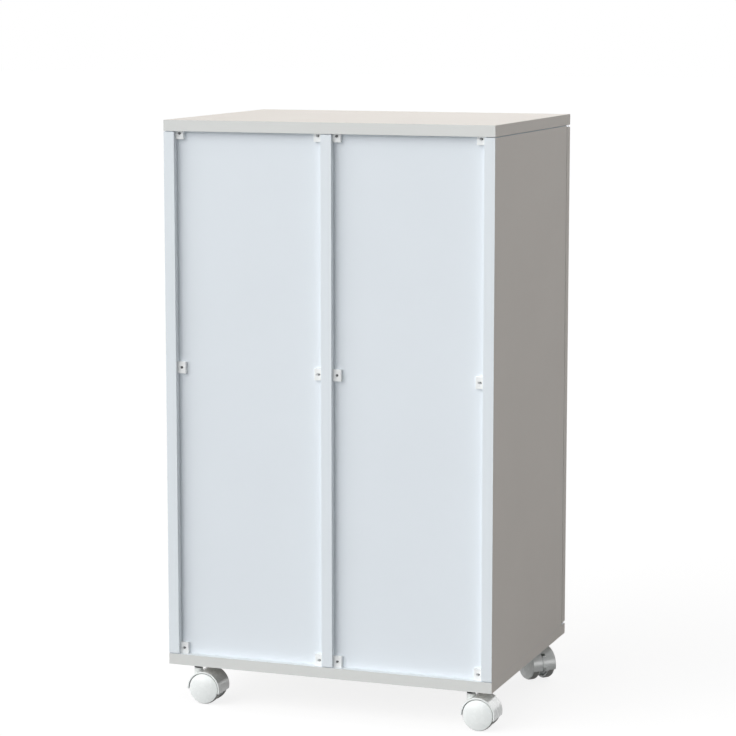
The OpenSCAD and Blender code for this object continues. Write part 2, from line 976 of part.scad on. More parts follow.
module wheel(caster, side) {
    rim = wheel_out - dome_h;
    bore_r = axle_d / 2 + fit;
    steps = [for (k = [0:dome_steps]) 1 - k / dome_steps];
    color(plastic_white)
        at_caster(caster)
            along_axle()
                mirror([0, 0, side < 0 ? 1 : 0])
                    rotate_extrude()
                        polygon(concat(
                            [
                                [bore_r, wheel_in],
                                [wheel_hub_r, wheel_in],
                                [wheel_hub_r, rim - rim_t],
                                [wheel_r - tread_t, rim - rim_t],
                                [wheel_r - tread_t, wheel_in],
                                [wheel_r - tread_round, wheel_in],
                                [wheel_r, wheel_in + tread_round],
                                [wheel_r, rim - tread_round]
                            ],
                            [for (r = steps) [dome_r * r, wheel_out - dome_h * r * r]],
                            [[0, bore_end], [bore_r, bore_end]]
                        ));
}

top_panel();
bottom_panel();
upright(-upright_x);  // left_side_panel
upright(upright_x);  // right_side_panel
upright(0);  // centre_divider
back_panel(left);  // left_back_panel
back_panel(right);  // right_back_panel
back_panel_clips();
clip_screws();
shelf(left);  // left_shelf
shelf(right);  // right_shelf
shelf_pins();
cam_locks();
cam_bolts();
dowels();
hinge_fixed_leaves();
case_screws();
magnetic_catches();
door_bumpers();
bin(left, upper);  // upper_left_bin
bin(right, upper);  // upper_right_bin
bin(left, lower);  // lower_left_bin
bin(right, lower);  // lower_right_bin
bag_ring(left, upper, ring_colours[0]);  // upper_left_bag_ring
bag_ring(right, upper, ring_colours[1]);  // upper_right_bag_ring
bag_ring(left, lower, ring_colours[2]);  // lower_left_bag_ring
bag_ring(right, lower, ring_colours[3]);  // lower_right_bag_ring
door(left);  // left_door
door(right);  // right_door
door_leaves(left);  // left_door_leaves
door_leaves(right);  // right_door_leaves
handle(left);  // left_handle
handle(right);  // right_handle
strike_plate(left);  // left_strike_plate
strike_plate(right);  // right_strike_plate
door_screws(left);  // left_door_screws
door_screws(right);  // right_door_screws
caster_sockets();
caster_stems();
hood(rear_left, false);  // rear_left_hood
axle(rear_left, false);  // rear_left_axle
wheel(rear_left, 1);  // rear_left_wheel_1
wheel(rear_left, -1);  // rear_left_wheel_2
hood(rear_right, false);  // rear_right_hood
axle(rear_right, false);  // rear_right_axle
wheel(rear_right, 1);  // rear_right_wheel_1
wheel(rear_right, -1);  // rear_right_wheel_2
hood(front_left, true);  // front_left_hood
axle(front_left, true);  // front_left_axle
wheel(front_left, 1);  // front_left_wheel_1
wheel(front_left, -1);  // front_left_wheel_2
hood(front_right, true);  // front_right_hood
axle(front_right, true);  // front_right_axle
wheel(front_right, 1);  // front_right_wheel_1
wheel(front_right, -1);  // front_right_wheel_2
brake_lever(front_left);  // front_left_brake_lever
brake_lever(front_right);  // front_right_brake_lever
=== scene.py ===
# %% [markdown]
# # A recycling bin cabinet
#
# The cabinet is white board on four twin-wheel casters. The CAD gives every piece its
# place and size, and this lesson gives each one its surface: rounded arrises, edge bands,
# moulded plastic, cross recesses in the screws, and light like that of the picture.

# %% Load the frame
import math

import bmesh
import bpy
from mathutils import Matrix, Vector


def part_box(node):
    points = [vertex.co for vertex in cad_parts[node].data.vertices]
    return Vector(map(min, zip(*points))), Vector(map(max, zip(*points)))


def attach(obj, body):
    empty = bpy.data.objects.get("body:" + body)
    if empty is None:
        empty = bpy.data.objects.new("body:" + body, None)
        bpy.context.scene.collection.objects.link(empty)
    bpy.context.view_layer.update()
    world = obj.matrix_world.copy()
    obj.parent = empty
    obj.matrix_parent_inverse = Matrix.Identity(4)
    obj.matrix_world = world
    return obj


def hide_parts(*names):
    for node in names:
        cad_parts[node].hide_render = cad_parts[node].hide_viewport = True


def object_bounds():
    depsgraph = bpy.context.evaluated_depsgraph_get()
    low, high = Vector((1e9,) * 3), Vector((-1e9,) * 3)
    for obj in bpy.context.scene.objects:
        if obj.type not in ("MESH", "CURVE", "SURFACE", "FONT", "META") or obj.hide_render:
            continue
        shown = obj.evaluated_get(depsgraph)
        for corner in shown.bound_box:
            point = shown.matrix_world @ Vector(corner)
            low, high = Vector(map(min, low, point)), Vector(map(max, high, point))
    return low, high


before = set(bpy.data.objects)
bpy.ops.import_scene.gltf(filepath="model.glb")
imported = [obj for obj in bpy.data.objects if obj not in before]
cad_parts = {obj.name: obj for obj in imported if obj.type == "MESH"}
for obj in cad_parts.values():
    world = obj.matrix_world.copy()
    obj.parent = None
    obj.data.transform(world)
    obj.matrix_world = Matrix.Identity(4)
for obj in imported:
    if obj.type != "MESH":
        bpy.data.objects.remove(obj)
cad_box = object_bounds()
MM = 0.001
print("CAD box in mm", [[round(c / MM, 1) for c in corner] for corner in cad_box])

# %% [markdown]
# ## The camera
#
# The picture was taken from behind the cabinet, a little above its middle and from far
# away, so the upright edges hardly converge. A long lens far off gives the same picture.
# The lens has no shift, so that other views stay centred.

# %% Camera
CAMERA_PLACE = Vector((-1.3073, 3.6328, 1.0350))
CAMERA_AZIMUTH = math.radians(199.935)
CAMERA_ELEVATION = math.radians(8.095)
LENS_MM, SENSOR_MM, SIGHT_M = 127.1, 36.0, 100.0

camera_data = bpy.data.cameras.new("camera")
camera_data.sensor_fit = "HORIZONTAL"
camera_data.sensor_width = SENSOR_MM
camera_data.lens = LENS_MM
camera_data.clip_end = SIGHT_M
camera = bpy.data.objects.new("camera", camera_data)
back = Vector((
    math.sin(CAMERA_AZIMUTH) * math.cos(CAMERA_ELEVATION),
    -math.cos(CAMERA_AZIMUTH) * math.cos(CAMERA_ELEVATION),
    math.sin(CAMERA_ELEVATION),
))
camera.location = CAMERA_PLACE
camera.rotation_euler = (-back).to_track_quat("-Z", "Y").to_euler()
bpy.context.scene.collection.objects.link(camera)
bpy.context.scene.camera = camera
bpy.context.scene.view_settings.view_transform = "Standard"
print("camera", [round(c, 3) for c in camera.location], "lens", camera_data.lens)

# %% [markdown]
# ## Light
#
# A studio with large lamps gives soft shadows. A sun lamp with a wide angle does the same
# and is equally strong everywhere, so the floor has no bright spot. The key light stands
# behind the cabinet on the left of the picture, which leaves the side panel on the right in
# soft shade. A weaker lamp lights the doors, and one that adds only gloss stands level with
# the casters. Strengths are written as parts of pi, because a white surface that faces a sun
# of strength pi renders at exactly its own colour.

# %% Lamps
def soft_sun(name, towards, level, width):
    """A sun lamp that shines from the direction `towards` with a wide, soft disc."""
    data = bpy.data.lights.new(name, "SUN")
    data.energy = level * math.pi
    data.angle = math.radians(width)
    lamp = bpy.data.objects.new(name, data)
    lamp.rotation_euler = Vector(towards).normalized().to_track_quat("Z", "Y").to_euler()
    bpy.context.scene.collection.objects.link(lamp)
    print("lamp", name, "level", level)
    return lamp


soft_sun("key", (0.58, 0.69, 0.30), 1.02, 76)
soft_sun("door_light", (-0.12, -0.90, 0.22), 0.35, 60)
glint = soft_sun("glint", (-0.97, 0.24, 0.05), 0.40, 40)
glint.visible_diffuse = False

# %% [markdown]
# ## White surroundings
#
# The world is white where the camera, a reflection or a clear material looks at it, and
# dimmer where it only lights the object. Light Path tells the two apart, here and on the
# floor below.

# %% World
AMBIENT = 0.32


def seen_directly(tree):
    """1 for rays from the camera, from a mirror-like surface or through a clear one."""
    path = tree.nodes.new("ShaderNodeLightPath")
    total = path.outputs["Is Camera Ray"]
    for ray in ("Is Glossy Ray", "Is Transmission Ray"):
        more = tree.nodes.new("ShaderNodeMath")
        more.operation = "MAXIMUM"
        tree.links.new(total, more.inputs[0])
        tree.links.new(path.outputs[ray], more.inputs[1])
        total = more.outputs[0]
    return total


world = bpy.data.worlds.new("studio")
world.use_nodes = True
sky = world.node_tree
sky.nodes.clear()
lighting = sky.nodes.new("ShaderNodeBackground")
lighting.inputs["Strength"].default_value = AMBIENT
seen = sky.nodes.new("ShaderNodeBackground")
seen.inputs["Strength"].default_value = 1.0
for background in (lighting, seen):
    background.inputs["Color"].default_value = (1.0, 1.0, 1.0, 1.0)
choose = sky.nodes.new("ShaderNodeMixShader")
sky.links.new(seen_directly(sky), choose.inputs[0])
sky.links.new(lighting.outputs[0], choose.inputs[1])
sky.links.new(seen.outputs[0], choose.inputs[2])
sky.links.new(choose.outputs[0], sky.nodes.new("ShaderNodeOutputWorld").inputs["Surface"])
bpy.context.scene.world = world
print("world", world.name, "lights with", AMBIENT)

# %% [markdown]
# The floor is one large square just below the wheels. Without it nothing would carry the
# shadow. What it lights the object with is the diffuse grey alone. What is seen of it is a
# paler diffuse grey, which takes the shadow, and a glow that lifts it to white.

# %% Floor
FLOOR_GREY, FLOOR_PALE, FLOOR_GLOW = 0.27, 0.24, 0.84
FLOOR_HALF_M, FLOOR_DROP_M = 30.0, 0.0004

floor_look = bpy.data.materials.new("studio_floor")
floor_look.use_nodes = True
ground = floor_look.node_tree
ground.nodes.clear()
grey = ground.nodes.new("ShaderNodeBsdfDiffuse")
grey.inputs["Color"].default_value = (FLOOR_GREY, FLOOR_GREY, FLOOR_GREY, 1.0)
pale = ground.nodes.new("ShaderNodeBsdfDiffuse")
pale.inputs["Color"].default_value = (FLOOR_PALE, FLOOR_PALE, FLOOR_PALE, 1.0)
glow = ground.nodes.new("ShaderNodeEmission")
glow.inputs["Strength"].default_value = FLOOR_GLOW
both = ground.nodes.new("ShaderNodeAddShader")
ground.links.new(pale.outputs[0], both.inputs[0])
ground.links.new(glow.outputs[0], both.inputs[1])
choose = ground.nodes.new("ShaderNodeMixShader")
ground.links.new(seen_directly(ground), choose.inputs[0])
ground.links.new(grey.outputs[0], choose.inputs[1])
ground.links.new(both.outputs[0], choose.inputs[2])
ground.links.new(choose.outputs[0], ground.nodes.new("ShaderNodeOutputMaterial").inputs[0])

bm = bmesh.new()
bmesh.ops.create_grid(bm, x_segments=1, y_segments=1, size=FLOOR_HALF_M)
bmesh.ops.translate(bm, verts=bm.verts, vec=(0.0, 0.0, -FLOOR_DROP_M))
floor_mesh = bpy.data.meshes.new("floor")
bm.to_mesh(floor_mesh)
bm.free()
floor_mesh.materials.append(floor_look)
floor = bpy.data.objects.new("floor", floor_mesh)
bpy.context.scene.collection.objects.link(floor)
print("floor", 2 * FLOOR_HALF_M, "m wide, stage only")

# %% [markdown]
# ## Finishes
#
# Every finish is made of the same few layers, which real surfaces share: a base colour that
# drifts very slightly over the piece, a roughness that is not quite even, and a fine relief.
# Only the numbers differ. All patterns read Object coordinates, which here are metres, so
# a noise of scale 2000 has grains of half a millimetre. Colours are written as they show on
# a screen and turned into the linear values that the renderer calculates with.

# %% Colours
def linear(colour, factor=1.0):
    """A screen colour from 0 to 255, as linear red, green, blue and full alpha."""
    parts = []
    for c in colour:
        c = c / 255
        c = c / 12.92 if c <= 0.04045 else ((c + 0.055) / 1.055) ** 2.4
        parts.append(min(1.0, c * factor))
    return (*parts, 1.0)


print("mid grey is", round(linear((188, 188, 188))[0], 3))

# %% [markdown]
# A few helpers add the nodes that every finish needs. Nearly all values of a noise lie in
# the middle of its range, so that part is spread over the values that are wanted.

# %% Node helpers
NOISE_LOW, NOISE_HIGH = 0.3, 0.7


def object_place(tree):
    """Where on its object a point lies, in metres."""
    return tree.nodes.new("ShaderNodeTexCoord").outputs["Object"]


def noise(tree, place, scale):
    node = tree.nodes.new("ShaderNodeTexNoise")
    node.inputs["Scale"].default_value = scale
    tree.links.new(place, node.inputs["Vector"])
    return node.outputs["Fac"]


def spread(tree, value, low, high):
    """Map the middle of a noise to low and high."""
    node = tree.nodes.new("ShaderNodeMapRange")
    node.inputs["From Min"].default_value = NOISE_LOW
    node.inputs["From Max"].default_value = NOISE_HIGH
    node.inputs["To Min"].default_value = low
    node.inputs["To Max"].default_value = high
    tree.links.new(value, node.inputs["Value"])
    return node.outputs["Result"]


def mixed(tree, amount, first, second):
    """Blend two colours. A Mix node's colours are inputs 6 and 7 and output 2."""
    node = tree.nodes.new("ShaderNodeMix")
    node.data_type = "RGBA"
    node.inputs[6].default_value = first
    node.inputs[7].default_value = second
    tree.links.new(amount, node.inputs[0])
    return node.outputs[2]


print("a noise is read from", NOISE_LOW, "to", NOISE_HIGH)

# %% [markdown]
# The layers are one noise for the drift of the colour, one for the roughness and one for
# the relief. An image could give all three, but a noise never repeats and needs no unwrapped
# surface. A Mapping node stretches the relief where the surface has a direction, as brushed
# steel has.

# %% A finish in layers
RELIEF_DEPTH_M, COAT_ROUGH, GLOSS_FINER = 0.0002, 0.20, 11


def finish(
    name, colour, rough, drift=0.03, cloud=9.0, grain=1800.0, relief=0.05,
    stretch=(1.0, 1.0, 1.0), uneven=0.05, metallic=0.0, specular=0.5, coat=0.0,
):
    """A material with a drifting colour, an uneven roughness and a fine relief."""
    look = bpy.data.materials.new(name)
    look.use_nodes = True
    tree = look.node_tree
    shader = tree.nodes["Principled BSDF"]
    shader.inputs["Metallic"].default_value = metallic
    shader.inputs["Specular IOR Level"].default_value = specular
    shader.inputs["Coat Weight"].default_value = coat
    shader.inputs["Coat Roughness"].default_value = COAT_ROUGH
    place = object_place(tree)
    turn = tree.nodes.new("ShaderNodeMapping")
    turn.inputs["Scale"].default_value = stretch
    tree.links.new(place, turn.inputs["Vector"])
    drifting = mixed(
        tree, spread(tree, noise(tree, place, cloud), 0.0, 1.0),
        linear(colour, 1.0 - drift), linear(colour, 1.0 + drift),
    )
    tree.links.new(drifting, shader.inputs["Base Color"])
    gloss = noise(tree, place, cloud * GLOSS_FINER)
    roughness = spread(tree, gloss, rough - uneven, rough + uneven)
    tree.links.new(roughness, shader.inputs["Roughness"])
    bump = tree.nodes.new("ShaderNodeBump")
    bump.inputs["Strength"].default_value = relief
    bump.inputs["Distance"].default_value = RELIEF_DEPTH_M
    tree.links.new(noise(tree, turn.outputs[0], grain), bump.inputs["Height"])
    tree.links.new(bump.outputs[0], shader.inputs["Normal"])
    return look


print("a relief of strength 1 is", RELIEF_DEPTH_M / MM, "mm deep")

# %% [markdown]
# White is not one white. The laminated faces are a warm white, the bands on the upright
# edges and the thin back panels a cool one, and the bands on the top and bottom panels lie
# in between. Next to each other they tell the eye where one board ends. The faces towards
# the middle of the cabinet are the same laminate in a cool white: painted light, the tint
# of the light that falls on them.

# %% Boards and plastics
LOOKS = {
    "melamine": finish(
        "white_melamine", (241, 235, 228), 0.62, drift=0.008, relief=0.10, specular=0.15
    ),
    "band_cool": finish("edge_band_cool", (231, 238, 243), 0.42, drift=0.008, relief=0.06),
    "band_warm": finish("edge_band_warm", (220, 222, 220), 0.42, drift=0.008, relief=0.06),
    "hardboard": finish(
        "white_hardboard", (231, 238, 244), 0.55, drift=0.006, grain=900, relief=0.10
    ),
    # The same laminate in a cooler white for faces towards the middle: painted light.
    "inner_face_painted_light": finish(
        "white_melamine_painted_light", (232, 237, 240), 0.62, drift=0.008, relief=0.10, specular=0.15
    ),
    "clip": finish("moulded_white", (244, 246, 246), 0.38, drift=0.01, grain=1400),
    "caster": finish(
        "caster_white", (246, 250, 249), 0.26, drift=0.008, grain=300, relief=0.01, coat=0.7
    ),
    # The tread's grey is painted shade for the shadow on it under the hood.
    "tread": finish("tread_painted_shade_grey", (168, 168, 165), 0.62, drift=0.05, grain=1600, relief=0.2),
    "bin": finish("bin_grey", (88, 93, 98), 0.44, drift=0.05, grain=1500, relief=0.3),
    "rubber": finish("clear_bumper", (205, 209, 208), 0.30, drift=0.02, grain=400),
}
print("finishes so far", sorted(LOOKS))

# %% [markdown]
# The rings' plastic is dyed right through, so it only differs in its colour. Metal is a mirror
# with scratches: its colour is what it reflects. Zinc plate has a mottled gloss, and satin
# steel is brushed along its length, which a stretched relief gives.

# %% Rings and metals
RING_COLOURS = {
    "upper_left": (58, 128, 80),
    "upper_right": (44, 106, 158),
    "lower_left": (214, 168, 44),
    "lower_right": (128, 131, 134),
}
for place, colour in RING_COLOURS.items():
    LOOKS["ring_" + place] = finish("ring_" + place, colour, 0.38, drift=0.04, relief=0.12)
# Zinc darker than the plate's own grey: painted shade for the holes the clip screws sit in.
LOOKS["zinc_painted_hole_shade"] = finish(
    "zinc_painted_hole_shade", (142, 143, 145), 0.45, drift=0.04, uneven=0.08, metallic=1.0
)
LOOKS["zinc"] = finish(
    "zinc_plate", (196, 199, 202), 0.34, drift=0.10, cloud=160, uneven=0.10, metallic=1.0
)
LOOKS["satin"] = finish(
    "satin_steel", (176, 177, 178), 0.30, drift=0.03, grain=3000, relief=0.16,
    stretch=(1.0, 1.0, 0.03), metallic=1.0,
)
LOOKS["steel"] = finish(
    "bright_steel", (188, 190, 192), 0.20, drift=0.03, uneven=0.08, metallic=1.0
)
# Near-black steel: painted shade and painted dark reflection for the stems and sockets in the
# gap under the bottom panel.
LOOKS["dark"] = finish(
    "steel_painted_shade_and_reflection", (34, 35, 38), 0.30, drift=0.05, uneven=0.08, metallic=1.0
)
print("rings and metals added, now", len(LOOKS))

# %% [markdown]
# Where a groove or a hole is cut, the core of the board shows: pressed flakes of wood. A
# noise has soft spots only, but Voronoi cells have edges, as flakes do, and each cell has its
# own tan. Beech dowels need a grain along their length instead, which a wave bent by noise
# gives.

# %% Chipboard and beech
FLAKES_PER_M, YEARS_PER_M, WANDER = 520.0, 140.0, 6.0


def flakes():
    look = finish("chipboard", (196, 164, 120), 0.85, drift=0.1, grain=900, relief=0.8)
    tree = look.node_tree
    shader = tree.nodes["Principled BSDF"]
    cells = tree.nodes.new("ShaderNodeTexVoronoi")
    cells.inputs["Scale"].default_value = FLAKES_PER_M
    tree.links.new(object_place(tree), cells.inputs["Vector"])
    ramp = tree.nodes.new("ShaderNodeValToRGB")
    ramp.color_ramp.elements[0].color = linear((142, 104, 66))
    ramp.color_ramp.elements[1].color = linear((218, 190, 148))
    tree.links.new(cells.outputs["Color"], ramp.inputs["Fac"])
    tree.links.new(ramp.outputs["Color"], shader.inputs["Base Color"])
    return look


def beech():
    look = finish("beech", (206, 168, 124), 0.6, relief=0.3, stretch=(1.0, 1.0, 0.05))
    tree = look.node_tree
    shader = tree.nodes["Principled BSDF"]
    rings = tree.nodes.new("ShaderNodeTexWave")
    rings.inputs["Scale"].default_value = YEARS_PER_M
    rings.inputs["Distortion"].default_value = WANDER
    tree.links.new(object_place(tree), rings.inputs["Vector"])
    tint = mixed(tree, rings.outputs["Fac"], linear((216, 182, 140)), linear((182, 138, 94)))
    tree.links.new(tint, shader.inputs["Base Color"])
    return look


LOOKS["core"] = flakes()
LOOKS["beech"] = beech()
print("all finishes", len(LOOKS))

# %% [markdown]
# ## From a bmesh to a piece
#
# Each new piece ends in the same few steps: its sharp edges are marked so that they stay
# crisp, the mesh becomes an object, it hangs on an empty for the body that carries it, and
# the CAD nodes it stands for are hidden. A Weighted Normal modifier keeps large faces evenly
# lit beside their rounded edges.

# %% Finish a piece
SHARP = math.radians(38)


def shade(bm):
    """Smooth shading everywhere, except over edges that turn sharply."""
    for face in bm.faces:
        face.smooth = True
    for edge in bm.edges:
        edge.smooth = len(edge.link_faces) == 2 and edge.calc_face_angle(0.0) < SHARP


def as_object(bm, name):
    mesh = bpy.data.meshes.new(name)
    bm.to_mesh(mesh)
    bm.free()
    obj = bpy.data.objects.new(name, mesh)
    bpy.context.scene.collection.objects.link(obj)
    return obj


def piece(bm, name, body, looks, nodes):
    """Turn a bmesh into a piece of the object that rides on a body."""
    shade(bm)
    obj = as_object(bm, name)
    for look in looks:
        obj.data.materials.append(LOOKS[look])
    even = obj.modifiers.new("even_normals", "WEIGHTED_NORMAL")
    even.keep_sharp = True
    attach(obj, body)
    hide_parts(*nodes)
    return obj


print("edges stay crisp from", round(math.degrees(SHARP)), "degrees on")

# %% [markdown]
# ## Copies of the CAD shapes
#
# Many CAD nodes have the right shape already and only lack softened arrises. Their mesh is
# loose triangles, so a copy is merged and its flat triangles joined before an edge is
# bevelled.

# %% Copy a node and soften it
ROUND_STEPS = 2
SAME_POINT_M, ON_PLANE_M, SAME_PLANE = 2e-6, 1e-7, math.radians(0.4)


def copy_of(node):
    """A node's mesh, merged and with whole flat faces instead of triangles."""
    bm = bmesh.new()
    bm.from_mesh(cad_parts[node].data)
    bmesh.ops.remove_doubles(bm, verts=bm.verts, dist=SAME_POINT_M)
    bmesh.ops.dissolve_limit(
        bm, angle_limit=SAME_PLANE, use_dissolve_boundaries=False,
        verts=bm.verts, edges=bm.edges, delimit=set(),
    )
    return bm


def soften(bm, edges, width, steps=ROUND_STEPS):
    """Round edges; the width is in mm."""
    bmesh.ops.bevel(
        bm, geom=edges, offset=width * MM, offset_type="OFFSET", affect="EDGES",
        segments=steps, profile=0.5, material=-1, clamp_overlap=True,
    )


def crisp_edges(bm, least=50.0):
    """The edges that turn outwards by more than `least` degrees."""
    limit = math.radians(least)
    return [
        e for e in bm.edges
        if len(e.link_faces) == 2 and e.is_convex and e.calc_face_angle(0.0) > limit
    ]


print("copies merge points closer than", SAME_POINT_M / MM, "mm")

# %% [markdown]
# ## Boards
#
# A board is chipboard between two laminated faces, with a plastic band glued round its
# narrow edges. The ends of the uprights are broken, so that a thin dark joint shows where
# they meet the top and bottom panels. A bevel would take as much from the end as from the
# side, but this slope is wide and low. So a plane first cuts in a loop of edges below the
# end, and then the rim above it moves in.

# %% Broken ends
JOINT_UP, JOINT_IN, NEAR = 1.3, 3.0, 0.02 * MM


def on_planes(point, low, high):
    """The axes on whose outer plane of the board's box a point lies."""
    return {
        axis for axis in range(3)
        if abs(point[axis] - low[axis]) < NEAR or abs(point[axis] - high[axis]) < NEAR
    }


def break_ends(bm, low, high):
    """Slope the rim of an upright's upper end, and the front and rear of its lower end."""
    for end, way, axes in ((high.z, -1, (0, 1)), (low.z, 1, (1,))):
        bmesh.ops.bisect_plane(
            bm, geom=bm.verts[:] + bm.edges[:] + bm.faces[:], dist=ON_PLANE_M,
            plane_co=(0, 0, end + way * JOINT_UP * MM), plane_no=(0, 0, 1),
        )
        for v in bm.verts:
            if abs(v.co.z - end) < NEAR:
                for axis in axes:
                    if abs(v.co[axis] - low[axis]) < NEAR:
                        v.co[axis] += JOINT_IN * MM
                    elif abs(v.co[axis] - high[axis]) < NEAR:
                        v.co[axis] -= JOINT_IN * MM
    bm.normal_update()


print("an upright's rim slopes in by", JOINT_IN, "mm over", JOINT_UP, "mm")

# %% [markdown]
# The other arrises are rounded by a fraction of a millimetre, as a banding machine leaves
# them. Each face of the copy gets its finish by where it lies: on one of the two large
# faces, on a narrow edge, or inside a cut.

# %% Dress a board
ARRIS, SKIN, SQUARE = 0.45, 0.7, math.radians(80)
FACE, INNER, BAND, CORE, ENDS = range(5)
CABINET_MIDDLE = (cad_box[0] + cad_box[1]) / 2


def board(node, body, slot, face, inner, band, ends):
    """Round a board's arrises and finish its faces, its bands and its ends along X."""
    low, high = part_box(node)
    size = high - low
    thin = min(range(3), key=lambda axis: size[axis])
    bm = copy_of(node)
    if thin == 0 and body == "cabinet":
        break_ends(bm, low, high)
    outer = [
        e for e in bm.edges
        if len(on_planes(e.verts[0].co, low, high) & on_planes(e.verts[1].co, low, high)) == 2
        and len(e.link_faces) == 2 and e.calc_face_angle(0.0) > SQUARE
    ]
    soften(bm, outer, ARRIS)
    for f in bm.faces:
        axis = max(range(3), key=lambda a: abs(f.normal[a]))
        middle = f.calc_center_bounds()
        skin = min(abs(middle[axis] - low[axis]), abs(middle[axis] - high[axis])) < SKIN * MM
        inwards = f.normal[thin] * (CABINET_MIDDLE[thin] - middle[thin]) > 0
        if not skin:
            f.material_index = CORE
        elif axis == thin:
            f.material_index = INNER if inwards else FACE
        else:
            f.material_index = ENDS if axis == 0 else BAND
    obj = piece(bm, node + "_board", body, [face, inner, band, "core", ends], [node])
    print(node, "arrises", len(outer), "faces", len(obj.data.polygons))
    return obj


print("arrises are rounded by", ARRIS, "mm")

# %% [markdown]
# The boards differ only in their finishes. The top and bottom panels have the same white on
# their ends as on their faces, and the doors and back panels have one white all round.

# %% All boards
SIDES = (("left", -1), ("right", 1))
# The cool white on faces towards the middle is painted light on the same laminate.
BOARDS = {
    # node: face, face towards the middle, bands, bands on the ends along X
    "top_panel": ("melamine", "inner_face_painted_light", "band_warm", "melamine"),
    "bottom_panel": ("melamine", "inner_face_painted_light", "band_warm", "melamine"),
    "left_side_panel": ("melamine", "inner_face_painted_light", "band_cool", "band_cool"),
    "right_side_panel": ("melamine", "inner_face_painted_light", "band_cool", "band_cool"),
    "centre_divider": ("inner_face_painted_light", "inner_face_painted_light", "band_cool", "band_cool"),
    "left_shelf": ("melamine", "melamine", "band_cool", "band_cool"),
    "right_shelf": ("melamine", "melamine", "band_cool", "band_cool"),
}
for node, looks in BOARDS.items():
    board(node, "cabinet", "white_melamine", *looks)
for side, _ in SIDES:
    board(side + "_back_panel", "cabinet", "white_hardboard", *["hardboard"] * 4)
    board(side + "_door", side + "_door", "white_melamine", *["melamine"] * 4)
print("boards", len(BOARDS) + 2 * len(SIDES))

# %% [markdown]
# ## Small fittings
#
# Catches, leaves, pins and plates are stampings and mouldings with slightly broken edges.
# Modelling them again would only repeat the CAD, so one call each is enough: a copy of the
# node, its outward edges bevelled, and the finish.

# %% Softened fittings
FITTINGS = [
    # node, body, slot, finish, width of the rounding in mm
    ("shelf_pins", "cabinet", "zinc", "zinc", 0.4),
    ("cam_locks", "cabinet", "zinc", "zinc", 0.3),
    ("dowels", "cabinet", "beech", "beech", 0.8),
    ("hinge_fixed_leaves", "cabinet", "steel", "steel", 0.2),
    ("magnetic_catches", "cabinet", "white_plastic", "clip", 0.5),
    ("door_bumpers", "cabinet", "bumper_rubber", "rubber", 0.5),
    ("left_door_leaves", "left_door", "steel", "steel", 0.2),
    ("right_door_leaves", "right_door", "steel", "steel", 0.2),
    ("left_strike_plate", "left_door", "zinc", "zinc", 0.25),
    ("right_strike_plate", "right_door", "zinc", "zinc", 0.25),
    # The sockets and stems take the near-black steel, painted shade and dark reflection under
    # the panel.
    ("caster_sockets", "cabinet", "steel", "dark", 0.3),
    ("caster_stems", "cabinet", "steel", "dark", 0.3),
]


def fitting(node, body, slot, look, width):
    """A copy of a node with rounded outward edges."""
    bm = copy_of(node)
    soften(bm, crisp_edges(bm), width)
    return piece(bm, node + "_soft", body, [look], [node])


for row in FITTINGS:
    fitting(*row)
print("fittings", len(FITTINGS))

# %% [markdown]
# The clips are blocks that stand well out of their corners, with a clear shadow below. Their
# copy is stretched away from the back panel before its edges are rounded, which also makes
# the screw holes deeper and darker.

# %% Clips
CLIP_SHOWN_T, CLIP_ROUND = 5.0, 0.45
clips_low, clips_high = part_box("back_panel_clips")
CLIP_T = (clips_high.y - clips_low.y) / MM

bm = copy_of("back_panel_clips")
bmesh.ops.scale(
    bm, vec=(1, CLIP_SHOWN_T / CLIP_T, 1), verts=bm.verts,
    space=Matrix.Translation((0, -clips_low.y, 0)),
)
bm.normal_update()
soften(bm, crisp_edges(bm), CLIP_ROUND)
piece(
    bm, "back_panel_clips_soft", "cabinet", ["clip"], ["back_panel_clips"]
)
print("clips stretched from", round(CLIP_T, 2), "to", CLIP_SHOWN_T, "mm")

# %% [markdown]
# ## Screws
#
# A screw is known by its recess. Each head gets a cross, cut by a Boolean with two thin
# bars, and lies where the CAD has it. Each bar is a box made at the origin, facing up, and
# set at its head by a matrix, so one helper serves heads that point anywhere.

# %% Cross recesses
RECESS_LONG, RECESS_WIDE, RECESS_DEEP = 3.0, 0.75, 1.0


def box_at(bm, size, matrix=Matrix.Identity(4)):
    """A box of the given size in mm, centred on the matrix's origin."""
    scale = Matrix.Diagonal((size[0] * MM, size[1] * MM, size[2] * MM, 1.0))
    return bmesh.ops.create_cube(bm, size=1.0, matrix=matrix @ scale)["verts"]


def with_modifiers(obj):
    """The mesh of an object after its modifiers."""
    graph = bpy.context.evaluated_depsgraph_get()
    return bpy.data.meshes.new_from_object(obj.evaluated_get(graph))


def cut(obj, cutter):
    """Take a cutter's volume out of an object, and return the mesh that is left."""
    step = obj.modifiers.new("cut", "BOOLEAN")
    step.operation = "DIFFERENCE"
    step.solver = "EXACT"
    step.use_self = True
    step.object = cutter
    made = with_modifiers(obj)
    for used in (cutter, obj):
        bpy.data.objects.remove(used)
    return made


def from_mesh(mesh):
    bm = bmesh.new()
    bm.from_mesh(mesh)
    return bm


def facing(place, out):
    """A matrix at a place in mm whose +Z points along `out`."""
    turn = Vector(out).to_track_quat("Z", "Y").to_matrix().to_4x4()
    return Matrix.Translation(Vector(place) * MM) @ turn


def screws(node, body, look, heads):
    """Cut a cross into every head of a node's screws."""
    plain = as_object(copy_of(node), node + "_plain")
    bars = bmesh.new()
    for place, out in heads:
        for quarter in (0, 1):
            spin = Matrix.Rotation(quarter * math.pi / 2, 4, "Z")
            box_at(bars, (RECESS_LONG, RECESS_WIDE, 2 * RECESS_DEEP), facing(place, out) @ spin)
    bm = from_mesh(cut(plain, as_object(bars, "recess_cutter")))
    made = piece(bm, node + "_cross", body, [look], [node])
    print(node, "heads", len(heads), "faces", len(made.data.polygons))


print("recesses", RECESS_LONG, "mm across")

# %% [markdown]
# The heads' places follow the same measures as the CAD: those of the clips point out of the
# corner at 45 degrees, and the others lie inside the cabinet, on the catches and on the backs
# of the doors.

